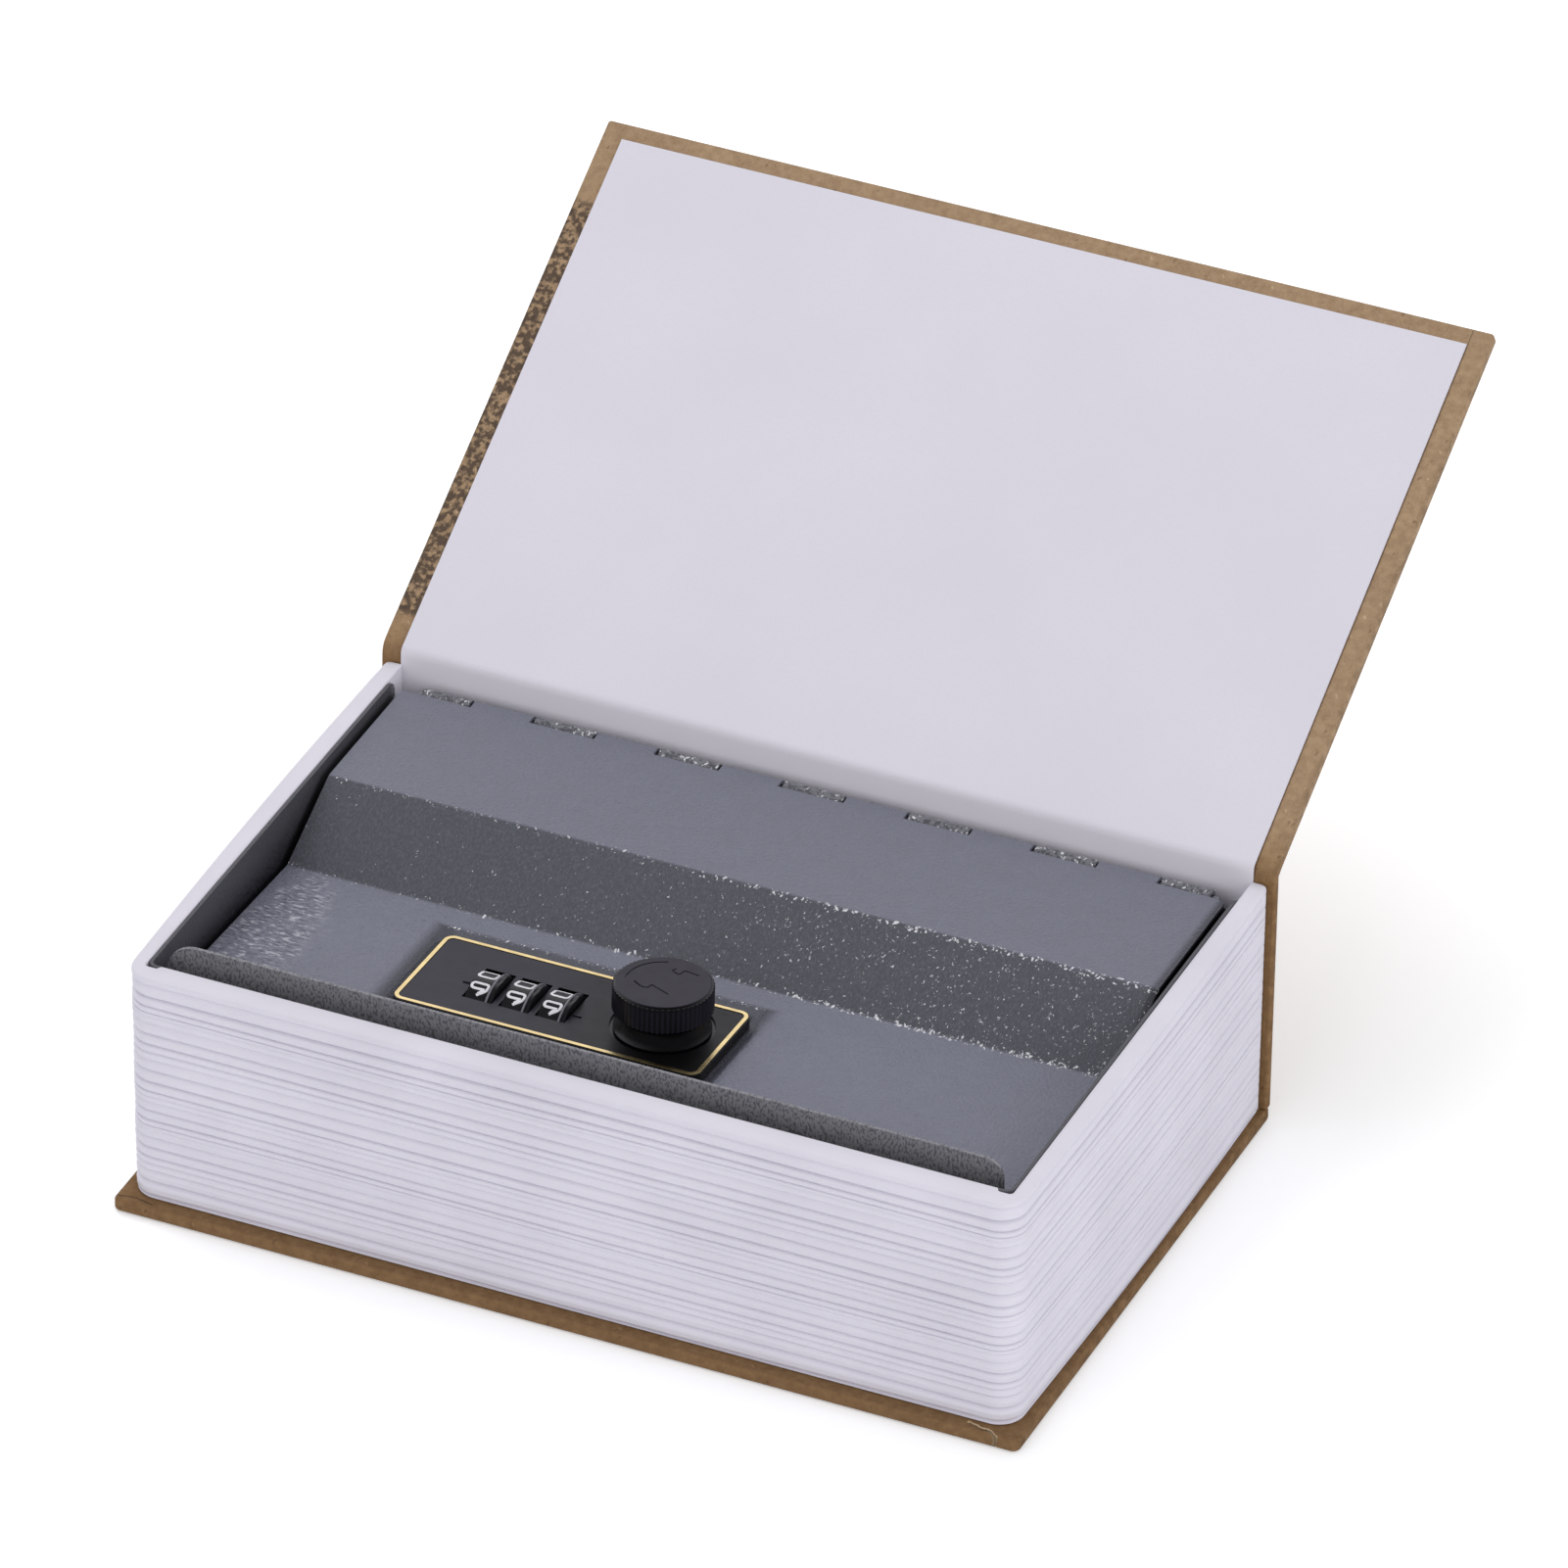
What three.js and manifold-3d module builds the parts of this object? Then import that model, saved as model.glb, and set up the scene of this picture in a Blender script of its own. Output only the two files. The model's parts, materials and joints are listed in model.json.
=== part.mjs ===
import * as THREE from 'three';
import { mergeVertices } from 'three/addons/utils/BufferGeometryUtils.js';
import Module from 'manifold-3d';

const wasm = await Module();
wasm.setup();

// A hollow book with a small steel cash box inside, standing on its back cover with the
// front cover open and the steel lid shut. Millimetres. X runs along the spine, +Y points
// at the spine, +Z is up, and the origin is the centre of the back cover's underside.

// Clearances
const clearance = 0.3; // between pieces that pass, turn or slide
const paperGap = 0.1; // between a glued sheet and what it is glued to
const overshoot = 5; // how far a cutting tool runs past what it cuts

// Book case
const caseLength = 180;
const caseWidth = 114.8; // fore edge of the back cover to the foot of the spine
const boardThickness = 2.6;
const boardCornerRadius = 1.4;
const boardEdgeRound = 0.6;
const spineThickness = 2.1;
const spineLean = 1.8; // how far the spine's top leans back from its foot
const jointStripThickness = 0.5;
const backJointGap = 1.5; // back cover to the foot of the spine
const coverJointGap = 2.6; // pivot to the front cover board's back edge
const coverJointRise = 2.3; // top of the spine to the pivot
const coverPivotSetback = 0.7; // pivot behind the spine's inner face
const coverRestAngle = 30; // open cover above the horizontal, degrees
const paperThickness = 0.3;
const pastedownSideMargin = 4.2;
const pastedownEdgeMargin = 3.7;
const coverOverKnob = 0.43; // closed endpaper above the highest point of the knob

// Page block
const pageHeight = 48.8;
const pageSideOverhang = 1.8; // back cover past the pages at each end
const pageFrontOverhang = 2.6; // back cover past the pages at the fore edge
const pageBow = 1; // how far the ends bow out in the middle
const pageCornerRadius = 5.2;
const pageSideWall = 2.7;
const pageFrontWall = 4.2;
const pageInnerRadius = 1;
const pageTopRound = 0.5;
const pageFootRound = 0.9;
const pageLinePitch = 1.56;
const pageLineSwing = { size: 0.55, step: 0.87, start: 2 }; // the pitch wanders from line to line
const pageLineDrift = { size: 0.3, step: 0.24, start: 4.6 }; // and slowly over the height
const pageLineDepth = 0.2;
const pageLineDeepening = 0.175; // of the two pitches beside the line, past the finest
const pageFinestPitch = 0.9;
const pageLeafShoulder = 0.25; // share of a leaf's height over which it rounds off
const pagePlainFoot = 3.4;
const pagePlainTop = 4.3;

// Steel box
const sheet = 0.7;
const boxSetdown = 0.2; // top of the pages to the top of the box
const boxCornerRadius = 2;
const boxRearCornerRadius = 2;
const boxSideSetback = 1.1; // rear end of the side walls' tops, in front of the hinge axis
const rodRadius = 0.7;
const knuckleSweep = 260; // degrees that each knuckle curls round the rod
const hingeSideGap = 6; // side of the box to the first knuckle
const knuckleGap = 0.6; // between neighbouring knuckles along the rod
const boxKnuckles = 7;
const endKnuckleCut = 2.2; // how much shorter the first and last box knuckles are
const rodEnd = 1.4; // how far the rod sticks out of them
const lidSideGap = 2.1; // mean gap from the lid to a side wall
const lidShift = -0.4; // the lid sits a little to the left

// Lid
const lidSetdown = 1.4; // top of the box to the lid's raised back
const lipGap = 5; // front wall to the lip
const panelDepth = 47.2; // lip to the lower bend
const slopeDepth = 17.9; // lower bend to the upper bend
const lidStep = 9; // the raised back to the lower bend
const panelTilt = 3.4; // lower panel rises to the front, degrees
const lipHeight = 9.5;
const lipCornerRadius = 5.8;
const bendRadius = 1.2;
const lidCornerRadius = 1;
const ledgeReach = 8.5;
const ledgeDrop = 6;

// Lock, in the frame of the face plate: origin at its centre, on top of the lid's panel
const plateX = -14.6;
const plateSetback = 23.8; // lip to the centre of the face plate
const plateLength = 61.2;
const plateWidth = 24.6;
const plateCornerRadius = 2.2;
const plateTop = 1.9;
const pressedMargin = 2;
const pressedDepth = 0.5;
const trimWidth = 0.8;
const trimInset = 0.25;
const trimDepth = 0.6;
const trimProud = 0.12;
const wheelCount = 3;
const wheelPitch = 7.25;
const wheelInset = 21.8; // left end of the face plate to the middle wheel
const wheelY = -0.8;
const wheelRadius = 7.5;
const drumRadius = 7.1;
const wheelWidth = 5.4;
const drumWidth = 4.1;
const wheelRise = 1.85; // rim above the face plate
const wheelDigits = 10;
const wheelNickDepth = 0.3;
const axleRadius = 1.2;
const axleSeat = 1.3; // how far the axle sits in each bearing wall
const knobInset = 12.9; // right end of the face plate to the knob
const knobY = 0.9;
const knobRadius = 9.3;
const knobBaseRadius = 9;
const knobNeckRadius = 8.1;
const knobRecessRadius = 9.7;
const knobRecessDepth = 0.5;
const knobHeight = 9.5;
const knobCapHeight = 5.6;
const knobRidges = 60;
const knobRidgeDepth = 0.35;
const knobEdge = 0.35;
const spindleRadius = 3;
const spindleSquare = 4.2;
const spindleEndRadius = 2;
const spindleInKnob = 5.4;
const housingMargin = 1.2; // face plate past the housing at each end
const housingWidth = 21.2;
const housingCornerRadius = 2;
const housingWall = 1.6;
const housingFloor = 1.4;
const postInset = 3.5; // from each end of the housing
const postRadius = 2.2;
const postLength = 6;
const screwRadius = 0.95;
const screwHeadRadius = 2.2;
const screwHeadHeight = 1.4;
const springThickness = 0.3;
const springWidth = 3.5;
const camThickness = 1.8;
const camReach = 25;
const camHubRadius = 6.5;
const camWidth = 9;
const washerRadius = 5.5;
const washerThickness = 0.7;
const nutAcrossFlats = 8;
const nutThickness = 2.5;
const resetTravel = 3;
const resetY = 7.2;
const resetPad = { length: 8, width: 3, thickness: 1.2 };
const resetStem = { length: 2, width: 1 };
const keeperWidth = 18;
const keeperReach = 6.5;
const keeperHeight = 6.8;
const keeperThickness = 1.2;

// Places that follow from the sizes
const halfCase = caseLength / 2;
const foreEdgeY = -caseWidth / 2;
const caseBackY = caseWidth / 2;
const pageHalf = halfCase - pageSideOverhang;
const pageFrontY = foreEdgeY + pageFrontOverhang;
const pageInnerHalf = pageHalf - pageSideWall;
const pageInnerFrontY = pageFrontY + pageFrontWall;
const boxHalf = pageInnerHalf - paperGap;
const boxFrontY = pageInnerFrontY + paperGap;
const boxFloorZ = boardThickness;
const boxTopZ = boardThickness + pageHeight - boxSetdown;
const lidTopZ = boxTopZ - lidSetdown;
const lowerBendZ = lidTopZ - lidStep;
const knuckleInner = rodRadius + clearance;
const knuckleOuter = knuckleInner + sheet;
const hingeZ = lidTopZ - knuckleOuter;
const knuckleEndX = boxHalf - hingeSideGap;
const knucklePitch = (knuckleEndX + endKnuckleCut + knuckleGap / 2) / (boxKnuckles / 2 - 0.25); // box to box
const knuckleWidth = knucklePitch / 2 - knuckleGap;
const boxBackY = caseBackY - spineThickness - paperGap - paperThickness - clearance;
const hingeY = boxBackY - knuckleOuter;
const lidHalf = boxHalf - sheet - lidSideGap;
const lidBackY = hingeY - Math.sqrt((knuckleOuter + clearance) ** 2 - knuckleInner ** 2);
const lidStart = lidShift - lidHalf;
const lidEnd = lidShift + lidHalf;
const lipY = boxFrontY + sheet + lipGap;
const lowerBendY = lipY + panelDepth;
const upperBendY = lowerBendY + slopeDepth;
const plateY = lipY + plateSetback;
const wheelX = wheelInset - plateLength / 2;
const knobX = plateLength / 2 - knobInset;
const housingLength = plateLength - 2 * housingMargin;
const postX = housingLength / 2 - postInset;
const resetX = -housingLength / 4;
const panelSlope = Math.tan(THREE.MathUtils.degToRad(panelTilt));
const panelTopAt = (y) => lowerBendZ + (lowerBendY - y) * panelSlope;
const panelUndersideAt = (y) => panelTopAt(y) - sheet / Math.cos(THREE.MathUtils.degToRad(panelTilt));

const lock = new THREE.Group();
lock.position.set(plateX, plateY, panelTopAt(plateY));
lock.rotation.x = -THREE.MathUtils.degToRad(panelTilt);
lock.updateMatrixWorld();

const plateBottom = -pressedDepth + clearance;
const wheelZ = plateTop + wheelRise - wheelRadius;
const housingTop = -pressedDepth - sheet - clearance;
const housingFloorTop = wheelZ - wheelRadius - 4 * springThickness;
const housingBottom = housingFloorTop - housingFloor;
const camTop = housingBottom - 2 * clearance;
const washerTop = camTop - camThickness - clearance;
const nutTop = washerTop - washerThickness - clearance;
const spindleEnd = nutTop - nutThickness - clearance;
const knobBottom = plateTop - knobRecessDepth + clearance;
const knobTop = knobBottom + knobHeight;
const knobRim = lock.localToWorld(new THREE.Vector3(knobX, knobY - knobRadius, knobTop));
const camTip = lock.localToWorld(new THREE.Vector3(knobX, knobY - camReach, camTop));

const coverPivotZ = knobRim.z + coverOverKnob + paperGap + paperThickness;
const spineFootZ = boardThickness + backJointGap;
const spineTopZ = coverPivotZ - coverJointRise;
const spineSlope = spineLean / (spineTopZ - spineFootZ);
const spineOuterAt = (z) => caseBackY + (z - spineFootZ) * spineSlope;
const spineInnerAt = (z) => spineOuterAt(z) - spineThickness;
const coverPivotY = spineInnerAt(spineTopZ) + coverPivotSetback;
const coverReach = coverPivotY - foreEdgeY;

// Materials
const finish = (color, roughness, metalness) => new THREE.MeshStandardMaterial({ color, roughness, metalness });
const kraftPaper = finish(0x8f7354, 0.85, 0);
const whitePaper = finish(0xd9d7e0, 0.9, 0);
const whitePlastic = finish(0xdad7e2, 0.45, 0);
const hammeredPaint = finish(0x7a7d87, 0.5, 0.2);
const bareSteel = finish(0x9a9ca0, 0.35, 0.9);
const blackPlastic = finish(0x3f3d44, 0.45, 0);
const goldFoil = finish(0xd8b870, 0.3, 0.8);
const brass = finish(0xb8964e, 0.35, 0.9);

const root = new THREE.Group();

// Adds one named piece. The shape is a solid, or a geometry that is already closed.
function addPiece(name, shape, material, parent = root) {
  const geometry = shape.isBufferGeometry ? shape : geometryOf(shape);
  const mesh = new THREE.Mesh(geometry, material);
  mesh.name = name;
  parent.add(mesh);
  return mesh;
}

function solidOf(geometry) {
  const bare = geometry.clone();
  bare.deleteAttribute('normal');
  bare.deleteAttribute('uv');
  const merged = mergeVertices(bare);
  return new wasm.Manifold(new wasm.Mesh({
    numProp: 3,
    vertProperties: new Float32Array(merged.attributes.position.array),
    triVerts: new Uint32Array(merged.index.array),
  }));
}

function geometryOf(solid) {
  const mesh = solid.getMesh();
  const geometry = new THREE.BufferGeometry();
  geometry.setAttribute('position', new THREE.BufferAttribute(new Float32Array(mesh.vertProperties), 3));
  geometry.setIndex(new THREE.BufferAttribute(new Uint32Array(mesh.triVerts), 1));
  geometry.computeVertexNormals();
  return geometry;
}

function joined(solids) {
  return solids.reduce((whole, solid) => whole.add(solid));
}

// Basic solids
function block(x0, x1, y0, y1, z0, z1) {
  const geometry = new THREE.BoxGeometry(x1 - x0, y1 - y0, z1 - z0);
  return solidOf(geometry.translate((x0 + x1) / 2, (y0 + y1) / 2, (z0 + z1) / 2));
}

function prism(shape, z0, z1, curveSegments = 6) {
  const geometry = new THREE.ExtrudeGeometry(shape, { depth: z1 - z0, bevelEnabled: false, curveSegments });
  return solidOf(geometry.translate(0, 0, z0));
}

function post(x, y, z0, z1, radius, segments = 20) {
  const geometry = new THREE.CylinderGeometry(radius, radius, z1 - z0, segments);
  return solidOf(geometry.rotateX(Math.PI / 2).translate(x, y, (z0 + z1) / 2));
}

function bar(x0, x1, y, z, radius, segments = 20) {
  const geometry = new THREE.CylinderGeometry(radius, radius, x1 - x0, segments);
  return solidOf(geometry.rotateZ(Math.PI / 2).translate((x0 + x1) / 2, y, z));
}

// A profile drawn in Y and Z, run along X.
function runAlongX(profile, x0, x1) {
  const shape = new THREE.Shape(profile);
  const geometry = new THREE.ExtrudeGeometry(shape, { depth: x1 - x0, bevelEnabled: false });
  const toRow = new THREE.Matrix4().makeBasis(
    new THREE.Vector3(0, 1, 0), new THREE.Vector3(0, 0, 1), new THREE.Vector3(1, 0, 0));
  return solidOf(geometry.applyMatrix4(toRow).translate(x0, 0, 0));
}

function roundedRectangle(x0, x1, y0, y1, radius) {
  const shape = new THREE.Shape();
  shape.moveTo(x0 + radius, y0);
  shape.lineTo(x1 - radius, y0);
  shape.absarc(x1 - radius, y0 + radius, radius, -Math.PI / 2, 0);
  shape.lineTo(x1, y1 - radius);
  shape.absarc(x1 - radius, y1 - radius, radius, 0, Math.PI / 2);
  shape.lineTo(x0 + radius, y1);
  shape.absarc(x0 + radius, y1 - radius, radius, Math.PI / 2, Math.PI);
  shape.lineTo(x0, y0 + radius);
  shape.absarc(x0 + radius, y0 + radius, radius, Math.PI, 1.5 * Math.PI);
  return shape;
}

// Profile of a bent sheet. The corners lie on one face, and the sheet's thickness lies to
// the left of the way along them. Every bend has the same inner radius.
function bentSheet(corners, thickness, innerRadius, stepsPerBend = 5) {
  const points = corners.map(([y, z]) => new THREE.Vector2(y, z));
  const face = [];
  const back = [];
  const leftOf = (way) => new THREE.Vector2(-way.y, way.x);
  const put = (point, left) => {
    face.push(point);
    back.unshift(point.clone().addScaledVector(left, thickness));
  };
  const wayAt = (i) => points[i + 1].clone().sub(points[i]).normalize();
  put(points[0], leftOf(wayAt(0)));
  for (let i = 1; i < points.length - 1; i++) {
    const before = wayAt(i - 1);
    const after = wayAt(i);
    const turn = Math.atan2(before.cross(after), before.dot(after));
    const side = Math.sign(turn);
    const radius = innerRadius + (side > 0 ? thickness : 0);
    const setback = radius * Math.tan(Math.abs(turn) / 2);
    const start = points[i].clone().addScaledVector(before, -setback);
    const centre = start.clone().addScaledVector(leftOf(before), side * radius);
    for (let step = 0; step <= stepsPerBend; step++) {
      const turned = (turn * step) / stepsPerBend;
      const point = start.clone().rotateAround(centre, turned);
      put(point, leftOf(before.clone().rotateAround(new THREE.Vector2(), turned)));
    }
  }
  put(points[points.length - 1], leftOf(wayAt(points.length - 2)));
  return [...face, ...back];
}

// Profile of a leaf that runs straight and then curls round the hinge rod.
function curledLeaf(startAngle, sweep, straight) {
  const steps = 10;
  const side = Math.sign(sweep);
  const way = new THREE.Vector2(-Math.sin(startAngle), Math.cos(startAngle)).multiplyScalar(side);
  const centre = new THREE.Vector2(hingeY, hingeZ);
  const pointAt = (angle, radius) =>
    new THREE.Vector2(Math.cos(angle), Math.sin(angle)).multiplyScalar(radius).add(centre);
  const outer = [pointAt(startAngle, knuckleOuter).addScaledVector(way, -straight)];
  const inner = [pointAt(startAngle, knuckleInner).addScaledVector(way, -straight)];
  for (let step = 0; step <= steps; step++) {
    const angle = startAngle + (sweep * step) / steps;
    outer.push(pointAt(angle, knuckleOuter));
    inner.push(pointAt(angle, knuckleInner));
  }
  const profile = [...outer, ...inner.reverse()];
  return side > 0 ? profile : profile.reverse();
}

// A board wrapped in paper: a slab with softened edges.
function wrappedBoard(x0, x1, y0, y1, thickness) {
  const round = boardEdgeRound;
  const shape = roundedRectangle(x0 + round, x1 - round, y0 + round, y1 - round, boardCornerRadius - round);
  const geometry = new THREE.ExtrudeGeometry(shape, {
    depth: thickness - 2 * round, bevelThickness: round, bevelSize: round, bevelSegments: 2, curveSegments: 4,
  });
  return geometry.translate(0, 0, round);
}

// Book case
function buildCase() {
  const backCover = wrappedBoard(-halfCase, halfCase, foreEdgeY, caseBackY, boardThickness);
  addPiece('back_cover_board', solidOf(backCover), kraftPaper);

  const round = boardEdgeRound;
  const spineProfile = [
    [spineInnerAt(spineFootZ), spineFootZ + round], [spineInnerAt(spineFootZ) + round, spineFootZ],
    [spineOuterAt(spineFootZ) - round, spineFootZ], [spineOuterAt(spineFootZ), spineFootZ + round],
    [spineOuterAt(spineTopZ), spineTopZ - round], [spineOuterAt(spineTopZ) - round, spineTopZ],
    [spineInnerAt(spineTopZ) + round, spineTopZ], [spineInnerAt(spineTopZ), spineTopZ - round],
  ].map(([y, z]) => new THREE.Vector2(y, z));
  addPiece('spine_board', runAlongX(spineProfile, -halfCase, halfCase), kraftPaper);

  // The kraft strip folds up from the back cover to the foot of the spine, set in a groove.
  const stripY = spineOuterAt(spineFootZ) - 2 * jointStripThickness;
  const backStrip = bentSheet([
    [stripY - backJointGap, boardThickness + jointStripThickness],
    [stripY, boardThickness + jointStripThickness],
    [stripY, spineFootZ - clearance],
  ].reverse(), jointStripThickness, jointStripThickness / 2, 3);
  const stripHalf = halfCase - boardCornerRadius;
  addPiece('back_joint_strip', runAlongX(backStrip, -stripHalf, stripHalf), kraftPaper);

  // Inside the spine the white endpaper runs down behind the steel box.
  const liningTopZ = spineTopZ - paperGap;
  const liningFootZ = spineFootZ + round;
  const liningProfile = [
    [spineInnerAt(liningFootZ) - paperGap, liningFootZ], [spineInnerAt(liningTopZ) - paperGap, liningTopZ],
    [spineInnerAt(liningTopZ) - paperGap - paperThickness, liningTopZ],
    [spineInnerAt(liningFootZ) - paperGap - paperThickness, liningFootZ],
  ].map(([y, z]) => new THREE.Vector2(y, z));
  const liningHalf = halfCase - pastedownSideMargin;
  addPiece('spine_lining', runAlongX(liningProfile, -liningHalf, liningHalf), whitePaper);
}

// Front cover, in a frame at its pivot: +Y along the board, +Z out of its inner face
function buildCover() {
  const cover = new THREE.Group();
  cover.position.set(0, coverPivotY, coverPivotZ);
  cover.rotation.x = THREE.MathUtils.degToRad(coverRestAngle);
  root.add(cover);
  cover.updateMatrixWorld();

  const board = wrappedBoard(-halfCase, halfCase, coverJointGap, coverReach, boardThickness);
  addPiece('front_cover_board', solidOf(board.translate(0, 0, -boardThickness)), kraftPaper, cover);

  const sheetHalf = halfCase - pastedownSideMargin;
  const sheetEnd = coverReach - pastedownEdgeMargin;
  const pastedown = block(-sheetHalf, sheetHalf, coverJointGap, sheetEnd, paperGap, paperGap + paperThickness);
  addPiece('cover_pastedown', pastedown, whitePaper, cover);

  const onCover = (y, z) => {
    const point = cover.localToWorld(new THREE.Vector3(0, y, z));
    return [point.y, point.z];
  };
  // The white endpaper crosses the joint and folds where the cover turns.
  const crossing = bentSheet([
    [spineInnerAt(spineTopZ) - paperGap, spineTopZ], onCover(0, paperGap), onCover(coverJointGap - paperGap, paperGap),
  ], paperThickness, paperThickness, 3);
  addPiece('endpaper_joint', runAlongX(crossing, -sheetHalf, sheetHalf), whitePaper);
  buildJointStrip(onCover, sheetHalf);
}

// Kraft across the joint: a thin strip, turned in at both ends over the full thickness
function buildJointStrip(onCover, sheetHalf) {
  const steps = 8;
  const bulge = 0.15; // of the strip's span
  const coverEdge = coverJointGap - clearance;
  const spineEdge = spineTopZ + clearance;
  const from = new THREE.Vector2(spineOuterAt(spineTopZ) - jointStripThickness, spineEdge + jointStripThickness);
  const to = new THREE.Vector2(...onCover(coverEdge, jointStripThickness - boardThickness));
  const span = to.clone().sub(from);
  const outward = new THREE.Vector2(span.y, -span.x).normalize();
  const inner = [];
  const outer = [];
  for (let step = 0; step <= steps; step++) {
    const rise = Math.sin((Math.PI * step) / steps) * bulge * span.length();
    const point = from.clone().addScaledVector(span, step / steps).addScaledVector(outward, rise);
    inner.push(point);
    outer.unshift(point.clone().addScaledVector(outward, jointStripThickness));
  }
  const half = halfCase - boardEdgeRound;
  const turnedIn = [
    [spineInnerAt(spineTopZ), spineEdge], onCover(0, 0), onCover(coverEdge, 0),
  ].map(([y, z]) => new THREE.Vector2(y, z));
  const strip = runAlongX([...inner, ...outer].reverse(), -half, half);
  const ends = [-1, 1].map((side) => {
    const x = [side * half, side * (sheetHalf + clearance)].sort((a, b) => a - b);
    return runAlongX([...turnedIn, ...outer, new THREE.Vector2(spineOuterAt(spineTopZ), spineEdge)].reverse(), ...x);
  });
  addPiece('front_joint_strip', joined([strip, ...ends]), kraftPaper);
}

// Page block: a moulded frame on three sides. Its outer face is built up in levels, and
// between two page lines it swells like a few leaves pressed together.
function pageOutline(inset) {
  const outline = [];
  const half = pageHalf - pageCornerRadius;
  const front = pageFrontY + pageCornerRadius;
  const backY = caseBackY + overshoot;
  const bowSteps = 4;
  const cornerSteps = 4;
  const bowAt = (share) => pageBow * Math.sin(0.8 * Math.PI * share);
  for (let step = bowSteps; step > 0; step--) {
    const share = step / bowSteps;
    outline.push(new THREE.Vector2(inset - pageHalf - bowAt(share), front + (backY - front) * share));
  }
  for (const side of [-1, 1]) {
    for (let step = 0; step <= cornerSteps; step++) {
      const angle = Math.PI * (side < 0 ? 1 : 1.5) + (Math.PI * step) / (2 * cornerSteps);
      const radius = pageCornerRadius - inset;
      outline.push(new THREE.Vector2(side * half + radius * Math.cos(angle), front + radius * Math.sin(angle)));
    }
  }
  for (let step = 1; step <= bowSteps; step++) {
    const share = step / bowSteps;
    outline.push(new THREE.Vector2(pageHalf - inset + bowAt(share), front + (backY - front) * share));
  }
  return outline;
}

// Pairs of height and inset, from the foot up. The page lines are laid out from the top.
function pageLevels() {
  const lines = [];
  const wave = ({ size, step, start }, line) => size * Math.sin(step * line + start);
  let below = pagePlainTop;
  for (let line = 0; below < pageHeight - pagePlainFoot; line++) {
    const pitch = pageLinePitch + wave(pageLineSwing, line) + wave(pageLineDrift, line);
    lines.unshift({ z: pageHeight - below, pitch });
    below += pitch;
  }
  const levels = [
    [0, pageFootRound], [0.3 * pageFootRound, 0.3 * pageFootRound], [pageFootRound, 0],
    [lines[0].z - lines[0].pitch / 4, 0],
  ];
  lines.forEach(({ z, pitch }, i) => {
    const above = i + 1 < lines.length ? lines[i + 1].z - z : pitch;
    const deepening = pageLineDeepening * (pitch + above - 2 * pageFinestPitch);
    levels.push([z, pageLineDepth + deepening], [z + pageLeafShoulder * above, pageLineDepth / 5]);
    levels.push([z + (1 - pageLeafShoulder) * above, 0]);
  });
  levels.push([pageHeight - pageTopRound, 0], [pageHeight - 0.3 * pageTopRound, 0.3 * pageTopRound]);
  levels.push([pageHeight, pageTopRound]);
  return levels;
}

function buildPages() {
  const positions = [];
  const rings = pageLevels().map(([z, inset]) => {
    const ring = pageOutline(inset);
    ring.forEach((point) => positions.push(point.x, point.y, boardThickness + z));
    return ring;
  });
  const count = rings[0].length;
  const faces = [];
  for (let level = 0; level < rings.length - 1; level++) {
    for (let i = 0; i < count; i++) {
      const next = (i + 1) % count;
      const low = level * count;
      const high = low + count;
      faces.push(low + i, low + next, high + next, low + i, high + next, high + i);
    }
  }
  const capOf = (ring) => THREE.ShapeUtils.triangulateShape(ring, []);
  const last = (rings.length - 1) * count;
  capOf(rings[0]).forEach(([a, b, c]) => faces.push(c, b, a));
  capOf(rings[rings.length - 1]).forEach(([a, b, c]) => faces.push(last + a, last + b, last + c));
  const geometry = new THREE.BufferGeometry();
  geometry.setAttribute('position', new THREE.BufferAttribute(new Float32Array(positions), 3));
  geometry.setIndex(faces);

  // The side walls end against the leaning spine.
  const behind = spineInnerAt(spineFootZ) - paperGap - paperThickness - clearance;
  const above = boardThickness + pageHeight + overshoot;
  const beyond = caseBackY + 3 * overshoot;
  const endAt = (z) => behind + (z - spineFootZ) * spineSlope;
  const cutProfile = [
    [endAt(-overshoot), -overshoot], [beyond, -overshoot], [beyond, above], [endAt(above), above],
  ].map(([y, z]) => new THREE.Vector2(y, z));
  const cut = runAlongX(cutProfile, -halfCase - overshoot, halfCase + overshoot);
  const room = prism(
    roundedRectangle(-pageInnerHalf, pageInnerHalf, pageInnerFrontY, beyond, pageInnerRadius), 0, above, 2);
  addPiece('page_tray', solidOf(geometry).subtract(cut).subtract(room), whitePlastic);
}

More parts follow.
